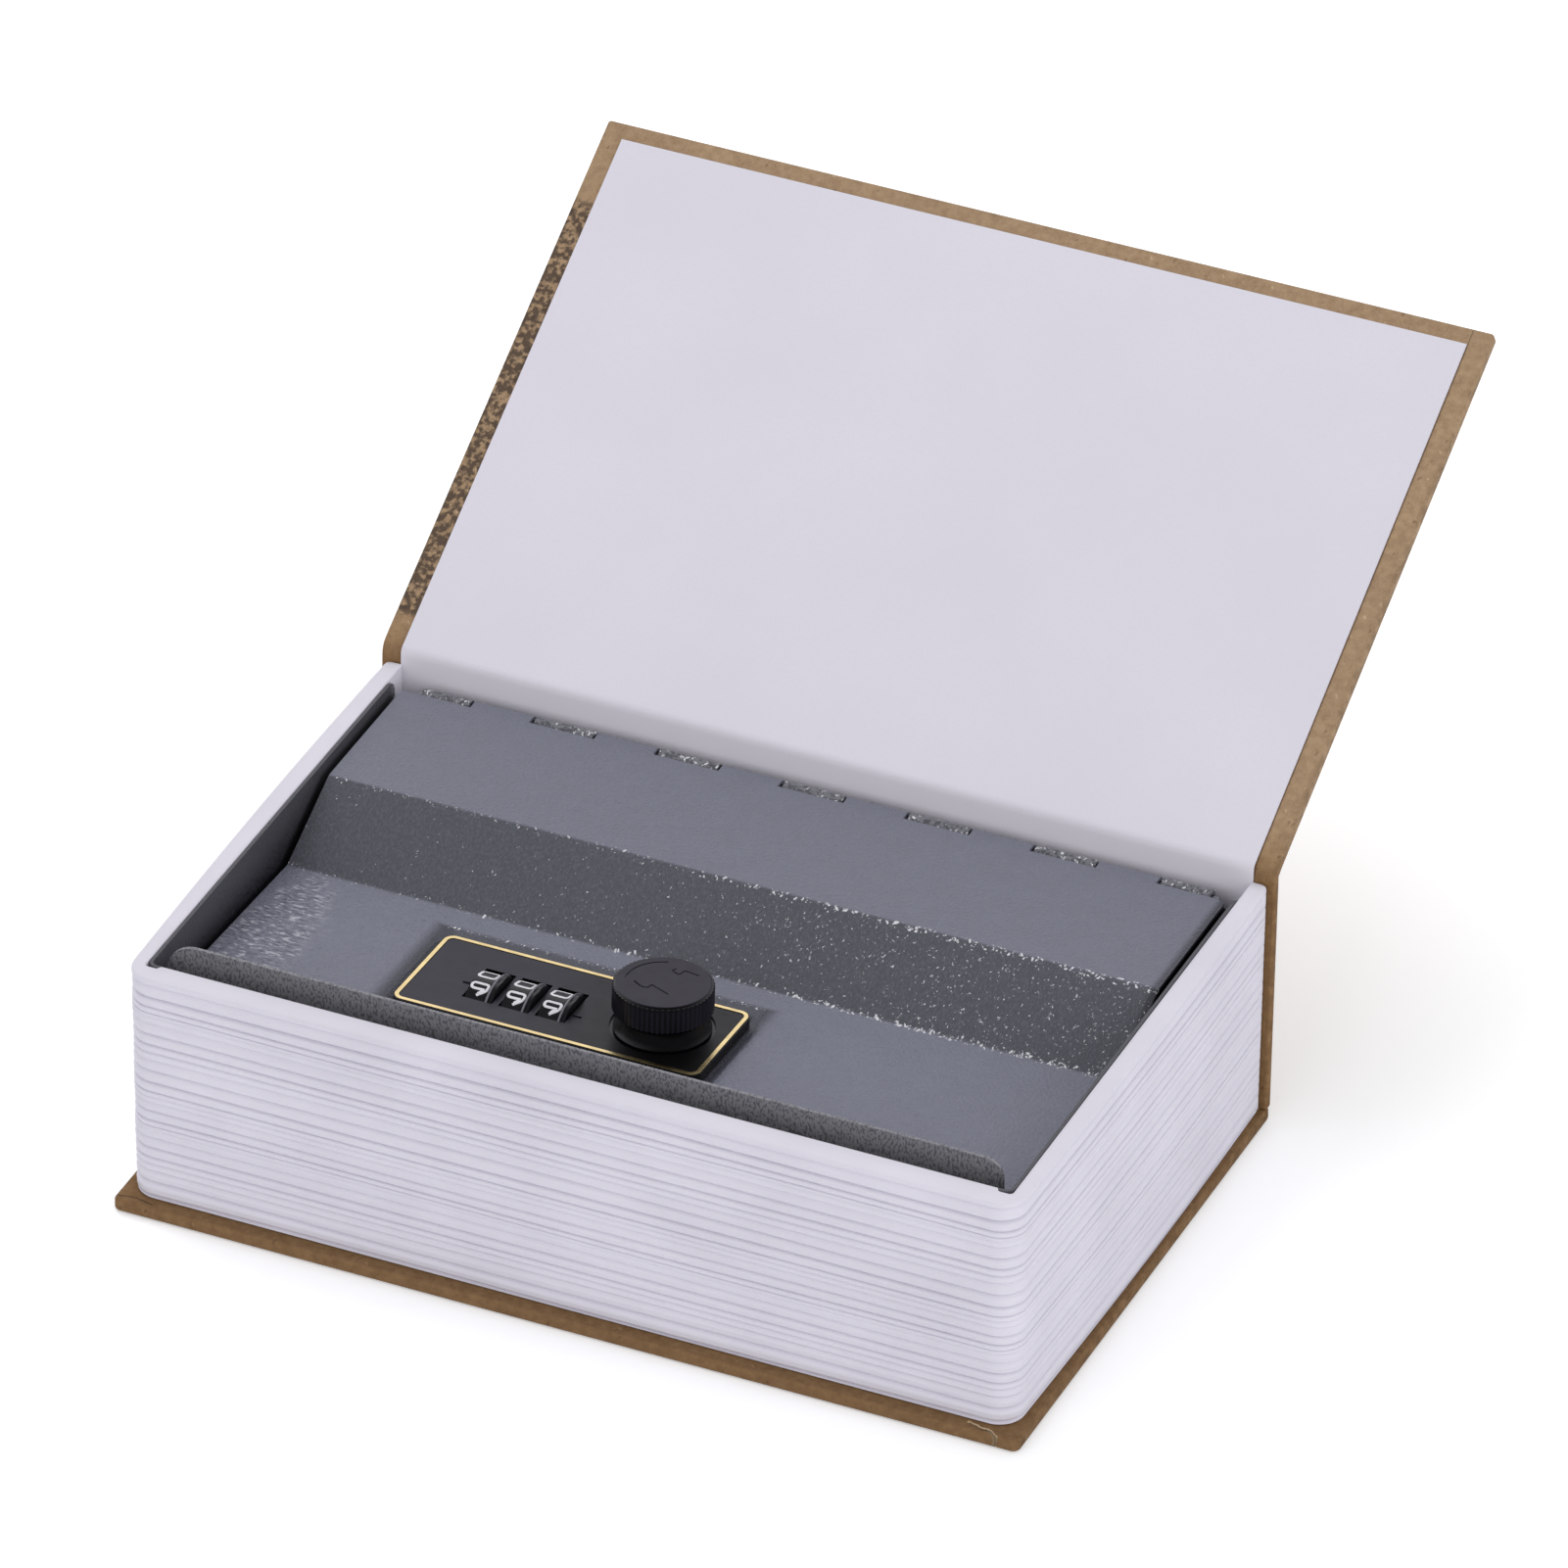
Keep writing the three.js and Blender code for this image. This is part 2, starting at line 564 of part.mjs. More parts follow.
// Steel box
function buildBox() {
  const outside = roundedRectangle(-boxHalf, boxHalf, boxFrontY, boxBackY, boxCornerRadius);
  const inside = roundedRectangle(
    -boxHalf + sheet, boxHalf - sheet, boxFrontY + sheet, boxBackY - sheet, boxCornerRadius - sheet);
  let box = prism(outside, boxFloorZ, boxTopZ).subtract(prism(inside, boxFloorZ + sheet, boxTopZ + overshoot));

  // The rear wall ends below the lid's tabs. The tops of the side walls end in front of it
  // with a round corner.
  const rearTopZ = hingeZ - knuckleOuter - clearance;
  const sideEndY = hingeY - boxSideSetback;
  box = box.subtract(block(-halfCase, halfCase, sideEndY, caseBackY, rearTopZ, boxTopZ + overshoot));
  const cornerY = sideEndY - boxRearCornerRadius;
  const cornerZ = boxTopZ - boxRearCornerRadius;
  const corner = block(-halfCase, halfCase, cornerY, caseBackY, cornerZ, boxTopZ + overshoot);
  box = box.subtract(corner.subtract(bar(-halfCase, halfCase, cornerY, cornerZ, boxRearCornerRadius)));

  // Tabs of the rear wall curl round the rod.
  const straight = hingeZ - rearTopZ + sheet;
  const sweep = THREE.MathUtils.degToRad(knuckleSweep);
  for (let i = 0; i < boxKnuckles; i++) {
    const x = (i - (boxKnuckles - 1) / 2) * knucklePitch;
    const start = Math.max(x - knuckleWidth / 2, -knuckleEndX);
    const end = Math.min(x + knuckleWidth / 2, knuckleEndX);
    box = box.add(runAlongX(curledLeaf(0, sweep, straight), start, end));
  }
  addPiece('steel_box', box, hammeredPaint);

  const rodHalf = knuckleEndX + rodEnd;
  addPiece('hinge_rod', bar(-rodHalf, rodHalf, hingeY, hingeZ, rodRadius, 16), bareSteel);
}

// Angle on which the lid's front edge rests, and the bracket that the latch catches under
function buildLedges() {
  const wallY = boxFrontY + sheet;
  const ledgeEndY = wallY + ledgeReach;
  const ledgeTopZ = panelUndersideAt(ledgeEndY) - clearance;
  const ledgeHalf = lidHalf - lidSideGap;
  const ledge = bentSheet([
    [ledgeEndY, ledgeTopZ], [wallY, ledgeTopZ], [wallY, ledgeTopZ - ledgeDrop],
  ], sheet, sheet / 2);
  addPiece('front_ledge', runAlongX(ledge, -ledgeHalf, ledgeHalf), hammeredPaint);

  const tongueZ = camTip.z + clearance;
  const keeper = bentSheet([
    [wallY, tongueZ + keeperHeight], [wallY, tongueZ], [wallY + keeperReach, tongueZ],
  ], keeperThickness, keeperThickness / 2);
  const keeperX = plateX + knobX;
  addPiece('latch_keeper', runAlongX(keeper, keeperX - keeperWidth / 2, keeperX + keeperWidth / 2), bareSteel);
}

// Puts a solid made in the lock's frame where the lock is.
function onLock(solid) {
  return solidOf(geometryOf(solid).applyMatrix4(lock.matrixWorld));
}

function pressedOutline(margin) {
  const halfLength = plateLength / 2 + margin;
  const halfWidth = plateWidth / 2 + margin;
  return roundedRectangle(-halfLength, halfLength, -halfWidth, halfWidth, plateCornerRadius + margin);
}

const wheelPlaces = Array.from({ length: wheelCount }, (_, i) => wheelX + (i - (wheelCount - 1) / 2) * wheelPitch);
const firstWheelX = wheelPlaces[0] - wheelWidth / 2;
const lastWheelX = wheelPlaces[wheelCount - 1] + wheelWidth / 2;
const wheelBayStart = firstWheelX - 2 * clearance;
const wheelBayEnd = lastWheelX + 2 * clearance;

// Lid: one bent sheet with a plateau at the back, a slope, a lower panel and a lip
function buildLid() {
  const tilt = THREE.MathUtils.degToRad(panelTilt);
  const lipFootZ = panelTopAt(lipY);
  const profile = bentSheet([
    [lidBackY, lidTopZ], [upperBendY, lidTopZ], [lowerBendY, lowerBendZ], [lipY, lipFootZ],
    [lipY + lipHeight * Math.sin(tilt), lipFootZ + lipHeight * Math.cos(tilt)],
  ], sheet, bendRadius);
  let lid = runAlongX(profile, lidStart, lidEnd);

  // Round rear corners, then the tabs that curl round the rod.
  const trimmed = roundedRectangle(lidStart, lidEnd, lipY - 2 * overshoot, lidBackY, lidCornerRadius);
  lid = lid.intersect(prism(trimmed, 0, lidTopZ + 2 * overshoot));
  const sweep = -THREE.MathUtils.degToRad(knuckleSweep);
  const straight = hingeY - lidBackY + sheet;
  for (let i = 0; i < boxKnuckles - 1; i++) {
    const x = (i - (boxKnuckles - 2) / 2) * knucklePitch;
    lid = lid.add(runAlongX(curledLeaf(Math.PI / 2, sweep, straight), x - knuckleWidth / 2, x + knuckleWidth / 2));
  }

  // Round top corners of the lip.
  const lipTopZ = lipFootZ + lipHeight * Math.cos(tilt);
  for (const side of [-1, 1]) {
    const cornerX = lidShift + side * (lidHalf - lipCornerRadius);
    const outerX = lidShift + side * (lidHalf + overshoot);
    const corner = block(
      Math.min(cornerX, outerX), Math.max(cornerX, outerX),
      lipY - overshoot, lipY + overshoot, lipTopZ - lipCornerRadius, lipTopZ + overshoot);
    const roundGeometry = new THREE.CylinderGeometry(lipCornerRadius, lipCornerRadius, 4 * overshoot, 48);
    const round = solidOf(roundGeometry.translate(cornerX, lipY, lipTopZ - lipCornerRadius));
    lid = lid.subtract(corner.subtract(round));
  }

  // The face plate sits in a pressed recess, cut for the wheels, the spindle and two posts.
  lid = lid.subtract(onLock(prism(pressedOutline(pressedMargin), -pressedDepth, overshoot)));
  lid = lid.add(onLock(prism(pressedOutline(pressedMargin + sheet / 2), -pressedDepth - sheet, -pressedDepth)));
  const openings = [
    block(wheelBayStart, wheelBayEnd, wheelY - wheelRadius, wheelY + wheelRadius, -overshoot, overshoot),
    post(knobX, knobY, -overshoot, overshoot, spindleRadius + 2 * clearance),
    post(-postX, 0, -overshoot, overshoot, postRadius + clearance),
    post(postX, 0, -overshoot, overshoot, postRadius + clearance),
  ];
  openings.forEach((opening) => { lid = lid.subtract(onLock(opening)); });
  addPiece('lid', lid, hammeredPaint);
}

function buildFacePlate() {
  const outline = (inset) => {
    const halfLength = plateLength / 2 - inset;
    const halfWidth = plateWidth / 2 - inset;
    return roundedRectangle(-halfLength, halfLength, -halfWidth, halfWidth, plateCornerRadius - inset);
  };
  const ringOf = (outerInset, innerInset, z0, z1) =>
    prism(outline(outerInset), z0, z1).subtract(prism(outline(innerInset), z0 - overshoot, z1 + overshoot));

  const grooveInset = trimInset - paperGap;
  const innerInset = trimInset + trimWidth;
  let plate = prism(outline(0), plateBottom, plateTop);
  plate = plate.subtract(ringOf(grooveInset, innerInset + paperGap, plateTop - trimDepth - paperGap, plateTop + overshoot));
  wheelPlaces.forEach((x) => {
    const half = wheelWidth / 2 + clearance;
    plate = plate.subtract(bar(x - half, x + half, wheelY, wheelZ, wheelRadius + clearance, 40));
  });
  plate = plate.subtract(post(knobX, knobY, plateTop - knobRecessDepth, plateTop + overshoot, knobRecessRadius, 40));
  plate = plate.subtract(post(knobX, knobY, plateBottom - overshoot, plateTop, spindleRadius + clearance));
  for (const side of [-1, 1]) {
    const leg = post(side * postX, 0, plateBottom - postLength, plateBottom + sheet / 2, postRadius);
    const bore = post(side * postX, 0, plateBottom - postLength - overshoot, plateBottom, screwRadius + clearance);
    plate = plate.add(leg).subtract(bore);
  }
  addPiece('lock_plate', plate, blackPlastic, lock);
  addPiece('gold_trim', ringOf(trimInset, innerInset, plateTop - trimDepth, plateTop + trimProud), goldFoil, lock);
}

// Number wheel: a drum for the digits, and a rim with a finger nick between every two digits
function buildWheels() {
  const nick = [0, 0, 0.55, 1, 0.55, 0];
  const rim = Array.from({ length: nick.length * wheelDigits }, (_, i) => {
    const angle = (i * 2 * Math.PI) / (nick.length * wheelDigits);
    const radius = wheelRadius - wheelNickDepth * nick[i % nick.length];
    return new THREE.Vector2(wheelY + radius * Math.cos(angle), wheelZ + radius * Math.sin(angle));
  });
  wheelPlaces.forEach((x, index) => {
    const start = x - wheelWidth / 2;
    const end = x + wheelWidth / 2;
    const drum = bar(start, end, wheelY, wheelZ, drumRadius, 4 * wheelDigits);
    const bore = bar(start - overshoot, end + overshoot, wheelY, wheelZ, axleRadius + clearance, 20);
    const wheel = drum.add(runAlongX(rim, start + drumWidth, end)).subtract(bore);
    addPiece(`number_wheel_${index + 1}`, wheel, blackPlastic, lock);
  });
  const axle = bar(wheelBayStart - axleSeat, wheelBayEnd + axleSeat, wheelY, wheelZ, axleRadius, 16);
  addPiece('wheel_axle', axle, bareSteel, lock);
}

function buildHousing() {
  const halfLength = housingLength / 2;
  const halfWidth = housingWidth / 2;
  const outline = roundedRectangle(-halfLength, halfLength, -halfWidth, halfWidth, housingCornerRadius);
  let housing = prism(outline, housingBottom, housingTop);
  housing = housing.subtract(block(
    wheelBayStart, wheelBayEnd, -halfWidth + housingWall, halfWidth - housingWall,
    housingFloorTop, housingTop + overshoot));
  // Both ends are hollow round the bosses for the posts and the spindle.
  const bosses = joined([
    post(-postX, 0, housingBottom, housingTop, postRadius + clearance + housingWall),
    post(postX, 0, housingBottom, housingTop, postRadius + clearance + housingWall),
    post(knobX, knobY, housingBottom, housingTop, spindleRadius + clearance + housingWall),
  ]);
  const bearingWall = axleSeat + clearance + housingWall;
  [
    [-halfLength + housingWall, wheelBayStart - bearingWall],
    [wheelBayEnd + bearingWall, halfLength - housingWall],
  ].forEach(([x0, x1]) => {
    const hollow = block(
      x0, x1, -halfWidth + housingWall, halfWidth - housingWall, housingFloorTop, housingTop + overshoot);
    housing = housing.subtract(hollow.subtract(bosses));
  });
  // The axle drops into slots that are open to the top.
  const seatRadius = axleRadius + clearance;
  const slotStart = wheelBayStart - axleSeat - clearance;
  const slotEnd = wheelBayEnd + axleSeat + clearance;
  housing = housing.subtract(bar(slotStart, slotEnd, wheelY, wheelZ, seatRadius));
  housing = housing.subtract(block(
    slotStart, slotEnd, wheelY - seatRadius, wheelY + seatRadius, wheelZ, housingTop + overshoot));
  housing = housing.subtract(post(
    knobX, knobY, housingBottom - overshoot, housingTop + overshoot, spindleRadius + clearance));
  const headSeat = housingBottom + screwHeadHeight + 2 * clearance;
  for (const side of [-1, 1]) {
    const x = side * postX;
    housing = housing.subtract(post(
      x, 0, plateBottom - postLength - clearance, housingTop + overshoot, postRadius + clearance));
    housing = housing.subtract(post(x, 0, housingBottom - overshoot, housingTop, screwRadius + clearance));
    housing = housing.subtract(post(x, 0, housingBottom - overshoot, headSeat, screwHeadRadius + clearance));
  }
  const slotHalf = resetStem.length / 2 + clearance;
  housing = housing.subtract(block(
    resetX - slotHalf, resetX + slotHalf + resetTravel,
    resetY - resetStem.width / 2 - clearance, resetY + resetStem.width / 2 + clearance,
    housingBottom - overshoot, housingFloorTop + overshoot));
  addPiece('lock_housing', housing, blackPlastic, lock);

  [-1, 1].forEach((side, index) => {
    const x = side * postX;
    const headBottom = headSeat - clearance - screwHeadHeight;
    const head = post(x, 0, headBottom, headSeat - clearance, screwHeadRadius, 20);
    const shank = post(x, 0, headBottom + clearance, plateBottom - 2 * clearance, screwRadius, 16);
    const slotWidth = screwRadius / 2;
    const slot = block(
      x - screwHeadRadius, x + screwHeadRadius, -slotWidth / 2, slotWidth / 2,
      headBottom - overshoot, headBottom + screwHeadHeight / 2);
    addPiece(`housing_screw_${index + 1}`, head.add(shank).subtract(slot), bareSteel, lock);
  });
}

// Leaf spring on the housing's floor: one finger arches up under each wheel
function buildSpring() {
  const baseY = -housingWidth / 2 + housingWall + clearance;
  const restZ = housingFloorTop + clearance;
  const crestZ = wheelZ - wheelRadius - clearance - springThickness;
  const finger = bentSheet([
    [baseY, restZ], [wheelY - wheelRadius / 2, restZ], [wheelY, crestZ], [wheelY + wheelRadius / 2, restZ],
  ], springThickness, springThickness, 3);
  const fingers = wheelPlaces.map((x) => runAlongX(finger, x - springWidth / 2, x + springWidth / 2));
  const base = block(
    wheelPlaces[0] - springWidth / 2, wheelPlaces[wheelCount - 1] + springWidth / 2,
    baseY, wheelY - wheelRadius / 2 - springThickness, restZ, restZ + springThickness);
  addPiece('detent_spring', joined([base, ...fingers]), brass, lock);
}

function buildKnob() {
  const capBottom = knobTop - knobCapHeight;
  const neckTop = capBottom - 2 * knobEdge;
  const profile = [
    [0, knobBottom], [knobBaseRadius, knobBottom], [knobBaseRadius, knobBottom + knobEdge],
    [knobNeckRadius, knobBottom + 4 * knobEdge], [knobNeckRadius, neckTop],
    [knobRadius - knobRidgeDepth - knobEdge, capBottom], [knobRadius - knobRidgeDepth, capBottom + knobEdge],
    [knobRadius - knobRidgeDepth, knobTop - knobEdge], [knobRadius - knobRidgeDepth - knobEdge, knobTop],
    [0, knobTop],
  ].map(([radius, z]) => new THREE.Vector2(radius, z));
  const turned = solidOf(new THREE.LatheGeometry(profile, 40).rotateX(Math.PI / 2));

  const ridges = new THREE.Shape();
  for (let i = 0; i < 2 * knobRidges; i++) {
    const angle = (i * Math.PI) / knobRidges;
    const radius = knobRadius - (i % 2 ? knobRidgeDepth : 0);
    ridges[i ? 'lineTo' : 'moveTo'](radius * Math.cos(angle), radius * Math.sin(angle));
  }
  const band = prism(ridges, capBottom + knobEdge, knobTop - knobEdge);
  const bore = post(0, 0, knobBottom - overshoot, knobBottom + spindleInKnob + clearance, spindleRadius + clearance);
  const knob = turned.add(band).subtract(bore);
  addPiece('knob', knob.translate([knobX, knobY, 0]), blackPlastic, lock);

  const square = spindleSquare / 2;
  const spindle = joined([
    post(knobX, knobY, camTop + clearance, knobBottom + spindleInKnob, spindleRadius),
    block(knobX - square, knobX + square, knobY - square, knobY + square, washerTop, camTop + 2 * clearance),
    post(knobX, knobY, spindleEnd, washerTop + clearance, spindleEndRadius, 20),
  ]);
  addPiece('knob_spindle', spindle, bareSteel, lock);
}

// Latch: the cam points along the spine when unlocked, so the lid is free to open
function buildLatch() {
  const camBottom = camTop - camThickness;
  const arm = roundedRectangle(knobX, knobX + camReach, knobY - camWidth / 2, knobY + camWidth / 2, camWidth / 4);
  const hole = spindleSquare / 2 + clearance;
  const cam = prism(arm, camBottom, camTop).add(post(knobX, knobY, camBottom, camTop, camHubRadius, 32))
    .subtract(block(knobX - hole, knobX + hole, knobY - hole, knobY + hole, camBottom - overshoot, camTop + overshoot));
  addPiece('latch_cam', cam, bareSteel, lock);

  const threadBore = (z0, z1) => post(knobX, knobY, z0, z1, spindleEndRadius + clearance);
  const washer = post(knobX, knobY, washerTop - washerThickness, washerTop, washerRadius);
  addPiece('cam_washer', washer.subtract(threadBore(nutTop, camTop)), bareSteel, lock);
  const nut = post(knobX, knobY, nutTop - nutThickness, nutTop, nutAcrossFlats / Math.sqrt(3), 6);
  addPiece('cam_nut', nut.subtract(threadBore(spindleEnd - overshoot, camTop)), bareSteel, lock);
}

// Slide under the housing that frees the wheels for a new code
function buildResetSlide() {
  const padTop = housingBottom - clearance;
  const pad = block(
    resetX - resetPad.length / 2, resetX + resetPad.length / 2,
    resetY - resetPad.width / 2, resetY + resetPad.width / 2, padTop - resetPad.thickness, padTop);
  const stem = block(
    resetX - resetStem.length / 2, resetX + resetStem.length / 2,
    resetY - resetStem.width / 2, resetY + resetStem.width / 2,
    padTop - clearance, housingFloorTop + 2 * clearance);
  addPiece('reset_slide', pad.add(stem), bareSteel, lock);
}

buildCase();
buildCover();
buildPages();
buildBox();
buildLedges();
buildLid();
buildFacePlate();
buildWheels();
buildHousing();
buildSpring();
buildKnob();
buildLatch();
buildResetSlide();
root.add(lock);

export default root;
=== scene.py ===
import json
import math

import bpy
from mathutils import Matrix, Vector


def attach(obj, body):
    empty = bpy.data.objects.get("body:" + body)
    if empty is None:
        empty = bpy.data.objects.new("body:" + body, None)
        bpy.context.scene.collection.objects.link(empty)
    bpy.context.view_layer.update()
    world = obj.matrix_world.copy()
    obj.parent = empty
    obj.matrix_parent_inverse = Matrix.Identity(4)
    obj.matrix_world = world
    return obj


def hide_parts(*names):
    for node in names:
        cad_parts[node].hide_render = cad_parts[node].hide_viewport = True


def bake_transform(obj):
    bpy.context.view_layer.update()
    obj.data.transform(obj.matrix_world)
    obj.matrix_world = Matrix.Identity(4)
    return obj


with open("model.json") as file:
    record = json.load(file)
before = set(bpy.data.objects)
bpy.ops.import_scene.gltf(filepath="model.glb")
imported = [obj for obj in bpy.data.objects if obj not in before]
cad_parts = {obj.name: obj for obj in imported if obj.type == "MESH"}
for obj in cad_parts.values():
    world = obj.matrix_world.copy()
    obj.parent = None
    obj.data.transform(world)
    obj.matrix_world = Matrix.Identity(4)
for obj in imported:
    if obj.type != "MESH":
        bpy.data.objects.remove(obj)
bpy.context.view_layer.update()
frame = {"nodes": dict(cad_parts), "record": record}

scene = bpy.context.scene
scene.view_settings.view_transform = "Standard"
mm = 0.001
slotOf = {part["node"]: part["material_slot"] for part in frame["record"]["subparts"]}
bodyOf = {node: body for body, nodes in frame["record"]["behaviour"]["bodies"].items() for node in nodes}


# Selecting, placing and finishing pieces

def selectOnly(*objects):
    bpy.ops.object.select_all(action="DESELECT")
    for item in objects:
        item.select_set(True)
    bpy.context.view_layer.objects.active = objects[-1]


def madeAs(name):  # names what an operator has just made
    piece = bpy.context.object
    piece.name = name
    return piece


def settle(piece):  # its place goes into the mesh, and the object sits at the origin
    selectOnly(piece)
    bpy.ops.object.transform_apply(location=True, rotation=True, scale=True)


def startEditing(piece, action="SELECT"):
    selectOnly(piece)
    bpy.ops.object.mode_set(mode="EDIT")
    bpy.ops.mesh.select_all(action=action)


def doneEditing():
    bpy.ops.object.mode_set(mode="OBJECT")


def editWhere(piece, kind, test):  # leaves edit mode on, with what passes the test selected
    startEditing(piece, "DESELECT")
    bpy.ops.mesh.select_mode(type=kind)
    doneEditing()
    mesh = piece.data
    spots = [vertex.co / mm for vertex in mesh.vertices]
    if kind == "VERT":
        for vertex, spot in zip(mesh.vertices, spots):
            vertex.select = test(spot)
    else:
        for edge in mesh.edges:
            edge.select = test(*(spots[i] for i in edge.vertices))
    bpy.ops.object.mode_set(mode="EDIT")


def applyModifier(piece, kind, **settings):
    modifier = piece.modifiers.new(kind.title(), kind)
    for name, value in settings.items():
        setattr(modifier, name, value)
    selectOnly(piece)
    bpy.ops.object.modifier_apply(modifier=modifier.name)


def roundEdges(piece, width, segments=2, limit=30):
    applyModifier(piece, "BEVEL", width=width * mm, segments=segments, limit_method="ANGLE",
                  angle_limit=math.radians(limit), use_clamp_overlap=True)


def shade(piece, smooth, weighted=True):
    selectOnly(piece)
    bpy.ops.object.shade_smooth_by_angle(angle=math.radians(smooth))
    if weighted:  # big flat faces stay flat beside their rounded edges
        applyModifier(piece, "WEIGHTED_NORMAL", keep_sharp=True, weight=80)


def paint(piece, material):
    piece.data.materials.clear()
    piece.data.materials.append(material)


def finishPiece(piece, material, body=None, smooth=35, weighted=True):
    shade(piece, smooth, weighted)
    paint(piece, material)
    if body:
        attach(piece, body)


def sweepSheet(name, path, half):  # a ribbon across X that follows points in Y and Z, in mm
    first, second = Vector(path[0]), Vector(path[1])
    way = second - first
    middle = (first + second) / 2
    bpy.ops.mesh.primitive_plane_add(size=1, location=(0, middle.x * mm, middle.y * mm),
                                     rotation=(math.atan2(way.y, way.x), 0, 0))
    ribbon = madeAs(name)
    ribbon.scale = (2 * half * mm, way.length * mm, 1)
    settle(ribbon)
    near = 0.01
    editWhere(ribbon, "EDGE", lambda a, b: all(abs(p.y - second.x) < near and abs(p.z - second.y) < near
                                               for p in (a, b)))
    for before, after in zip(path[1:-1], path[2:]):
        step = (0, (after[0] - before[0]) * mm, (after[1] - before[1]) * mm)
        bpy.ops.mesh.extrude_region_move(TRANSFORM_OT_translate={"value": step})
    doneEditing()
    return ribbon


# Shader building: plain arithmetic on a signal adds math nodes

class Signal:  # the output of a node
    def __init__(self, tree, socket):
        self.tree = tree
        self.socket = socket

    def __add__(self, other):
        return calc("ADD", self, other)

    def __sub__(self, other):
        return calc("SUBTRACT", self, other)

    def __rsub__(self, other):
        return calc("SUBTRACT", other, self)

    def __mul__(self, other):
        return calc("MULTIPLY", self, other)

    def __truediv__(self, other):
        return calc("DIVIDE", self, other)

    def __abs__(self):
        return calc("ABSOLUTE", self)

    __radd__ = __add__
    __rmul__ = __mul__


def connect(value, socket):
    if isinstance(value, Signal):
        value.tree.links.new(value.socket, socket)
    else:
        socket.default_value = value


def addNode(tree, kind, inputs=None, **settings):
    node = tree.nodes.new("ShaderNode" + kind)
    for name, value in settings.items():
        setattr(node, name, value)
    for name, value in (inputs or {}).items():
        connect(value, node.inputs[name])
    return node


def result(tree, kind, inputs=None, output=0, **settings):
    return Signal(tree, addNode(tree, kind, inputs, **settings).outputs[output])


def treeOf(*values):
    return next(value.tree for value in values if isinstance(value, Signal))


def calc(operation, *values, clamp=False):
    return result(treeOf(*values), "Math", dict(enumerate(values)), operation=operation, use_clamp=clamp)


def larger(first, second):
    return calc("MAXIMUM", first, second)


def fade(value, start, end):  # 0 at start, 1 at end
    return result(value.tree, "MapRange", {"Value": value, "From Min": start, "From Max": end},
                  interpolation_type="SMOOTHSTEP")


def between(value, low, high, soft):  # 1 from low to high, with soft ends
    return fade(value, low - soft, low + soft) * fade(value, high + soft, high - soft)


def mixColour(factor, first, second, blend="MIX"):
    return result(treeOf(factor, first), "Mix", {"Factor": factor, 6: first, 7: second}, 2,
                  data_type="RGBA", blend_type=blend)


def mixNormal(factor, first, second):
    return result(factor.tree, "Mix", {"Factor": factor, 4: first, 5: second}, 1, data_type="VECTOR")


def layered(base, colours, *layers):  # each layer is a colour's name, its mask and the share of it
    for over, mask, share in layers:
        base = mixColour(mask * share, base, colours[over])
    return base


def colour(red, green, blue):  # from 0..255 screen values
    def level(value):
        value /= 255
        return value / 12.92 if value <= 0.04045 else ((value + 0.055) / 1.055) ** 2.4
    return level(red), level(green), level(blue), 1


def scaled(shadeColour, factor):
    return tuple(factor * part for part in shadeColour[:3]) + (1,)


def objectPlace(tree):
    return result(tree, "TexCoord", output="Object")


def axes(tree):
    split = addNode(tree, "SeparateXYZ", {0: objectPlace(tree)})
    return [Signal(tree, split.outputs[axis]) for axis in "XYZ"]


def newGroup(name, inputs, outputs):
    tree = bpy.data.node_groups.new(name, "ShaderNodeTree")
    for label, value in inputs.items():
        socket = tree.interface.new_socket(label, in_out="INPUT", socket_type="NodeSocketFloat")
        socket.default_value = value
    for label, kind in outputs.items():
        tree.interface.new_socket(label, in_out="OUTPUT", socket_type="NodeSocket" + kind)
    entry = tree.nodes.new("NodeGroupInput")
    leave = tree.nodes.new("NodeGroupOutput")
    given = {label: Signal(tree, entry.outputs[label]) for label in inputs}
    return tree, given, leave.inputs, objectPlace(tree)


def useGroup(tree, group, **inputs):
    node = tree.nodes.new("ShaderNodeGroup")
    node.node_tree = group
    for name, value in inputs.items():
        connect(value, node.inputs[name[0].upper() + name[1:]])
    return [Signal(tree, socket) for socket in node.outputs]


def stretchedPlace(tree, place, ratio):  # along Y and Z
    sizes = result(tree, "CombineXYZ", {"X": 1, "Y": ratio, "Z": ratio})
    return result(tree, "VectorMath", {0: place, 1: sizes}, operation="MULTIPLY")


def buildCloudGroup():  # soft blotches, 0..1
    tree, given, out, place = newGroup("clouds", {"Scale": 60, "Detail": 4, "Low": 0.35, "High": 0.65},
                                       {"Mask": "Float"})
    noise = result(tree, "TexNoise", {"Vector": place, "Scale": given["Scale"], "Detail": given["Detail"]})
    mask = result(tree, "MapRange", {"Value": noise, "From Min": given["Low"], "From Max": given["High"]})
    connect(mask, out["Mask"])
    return tree


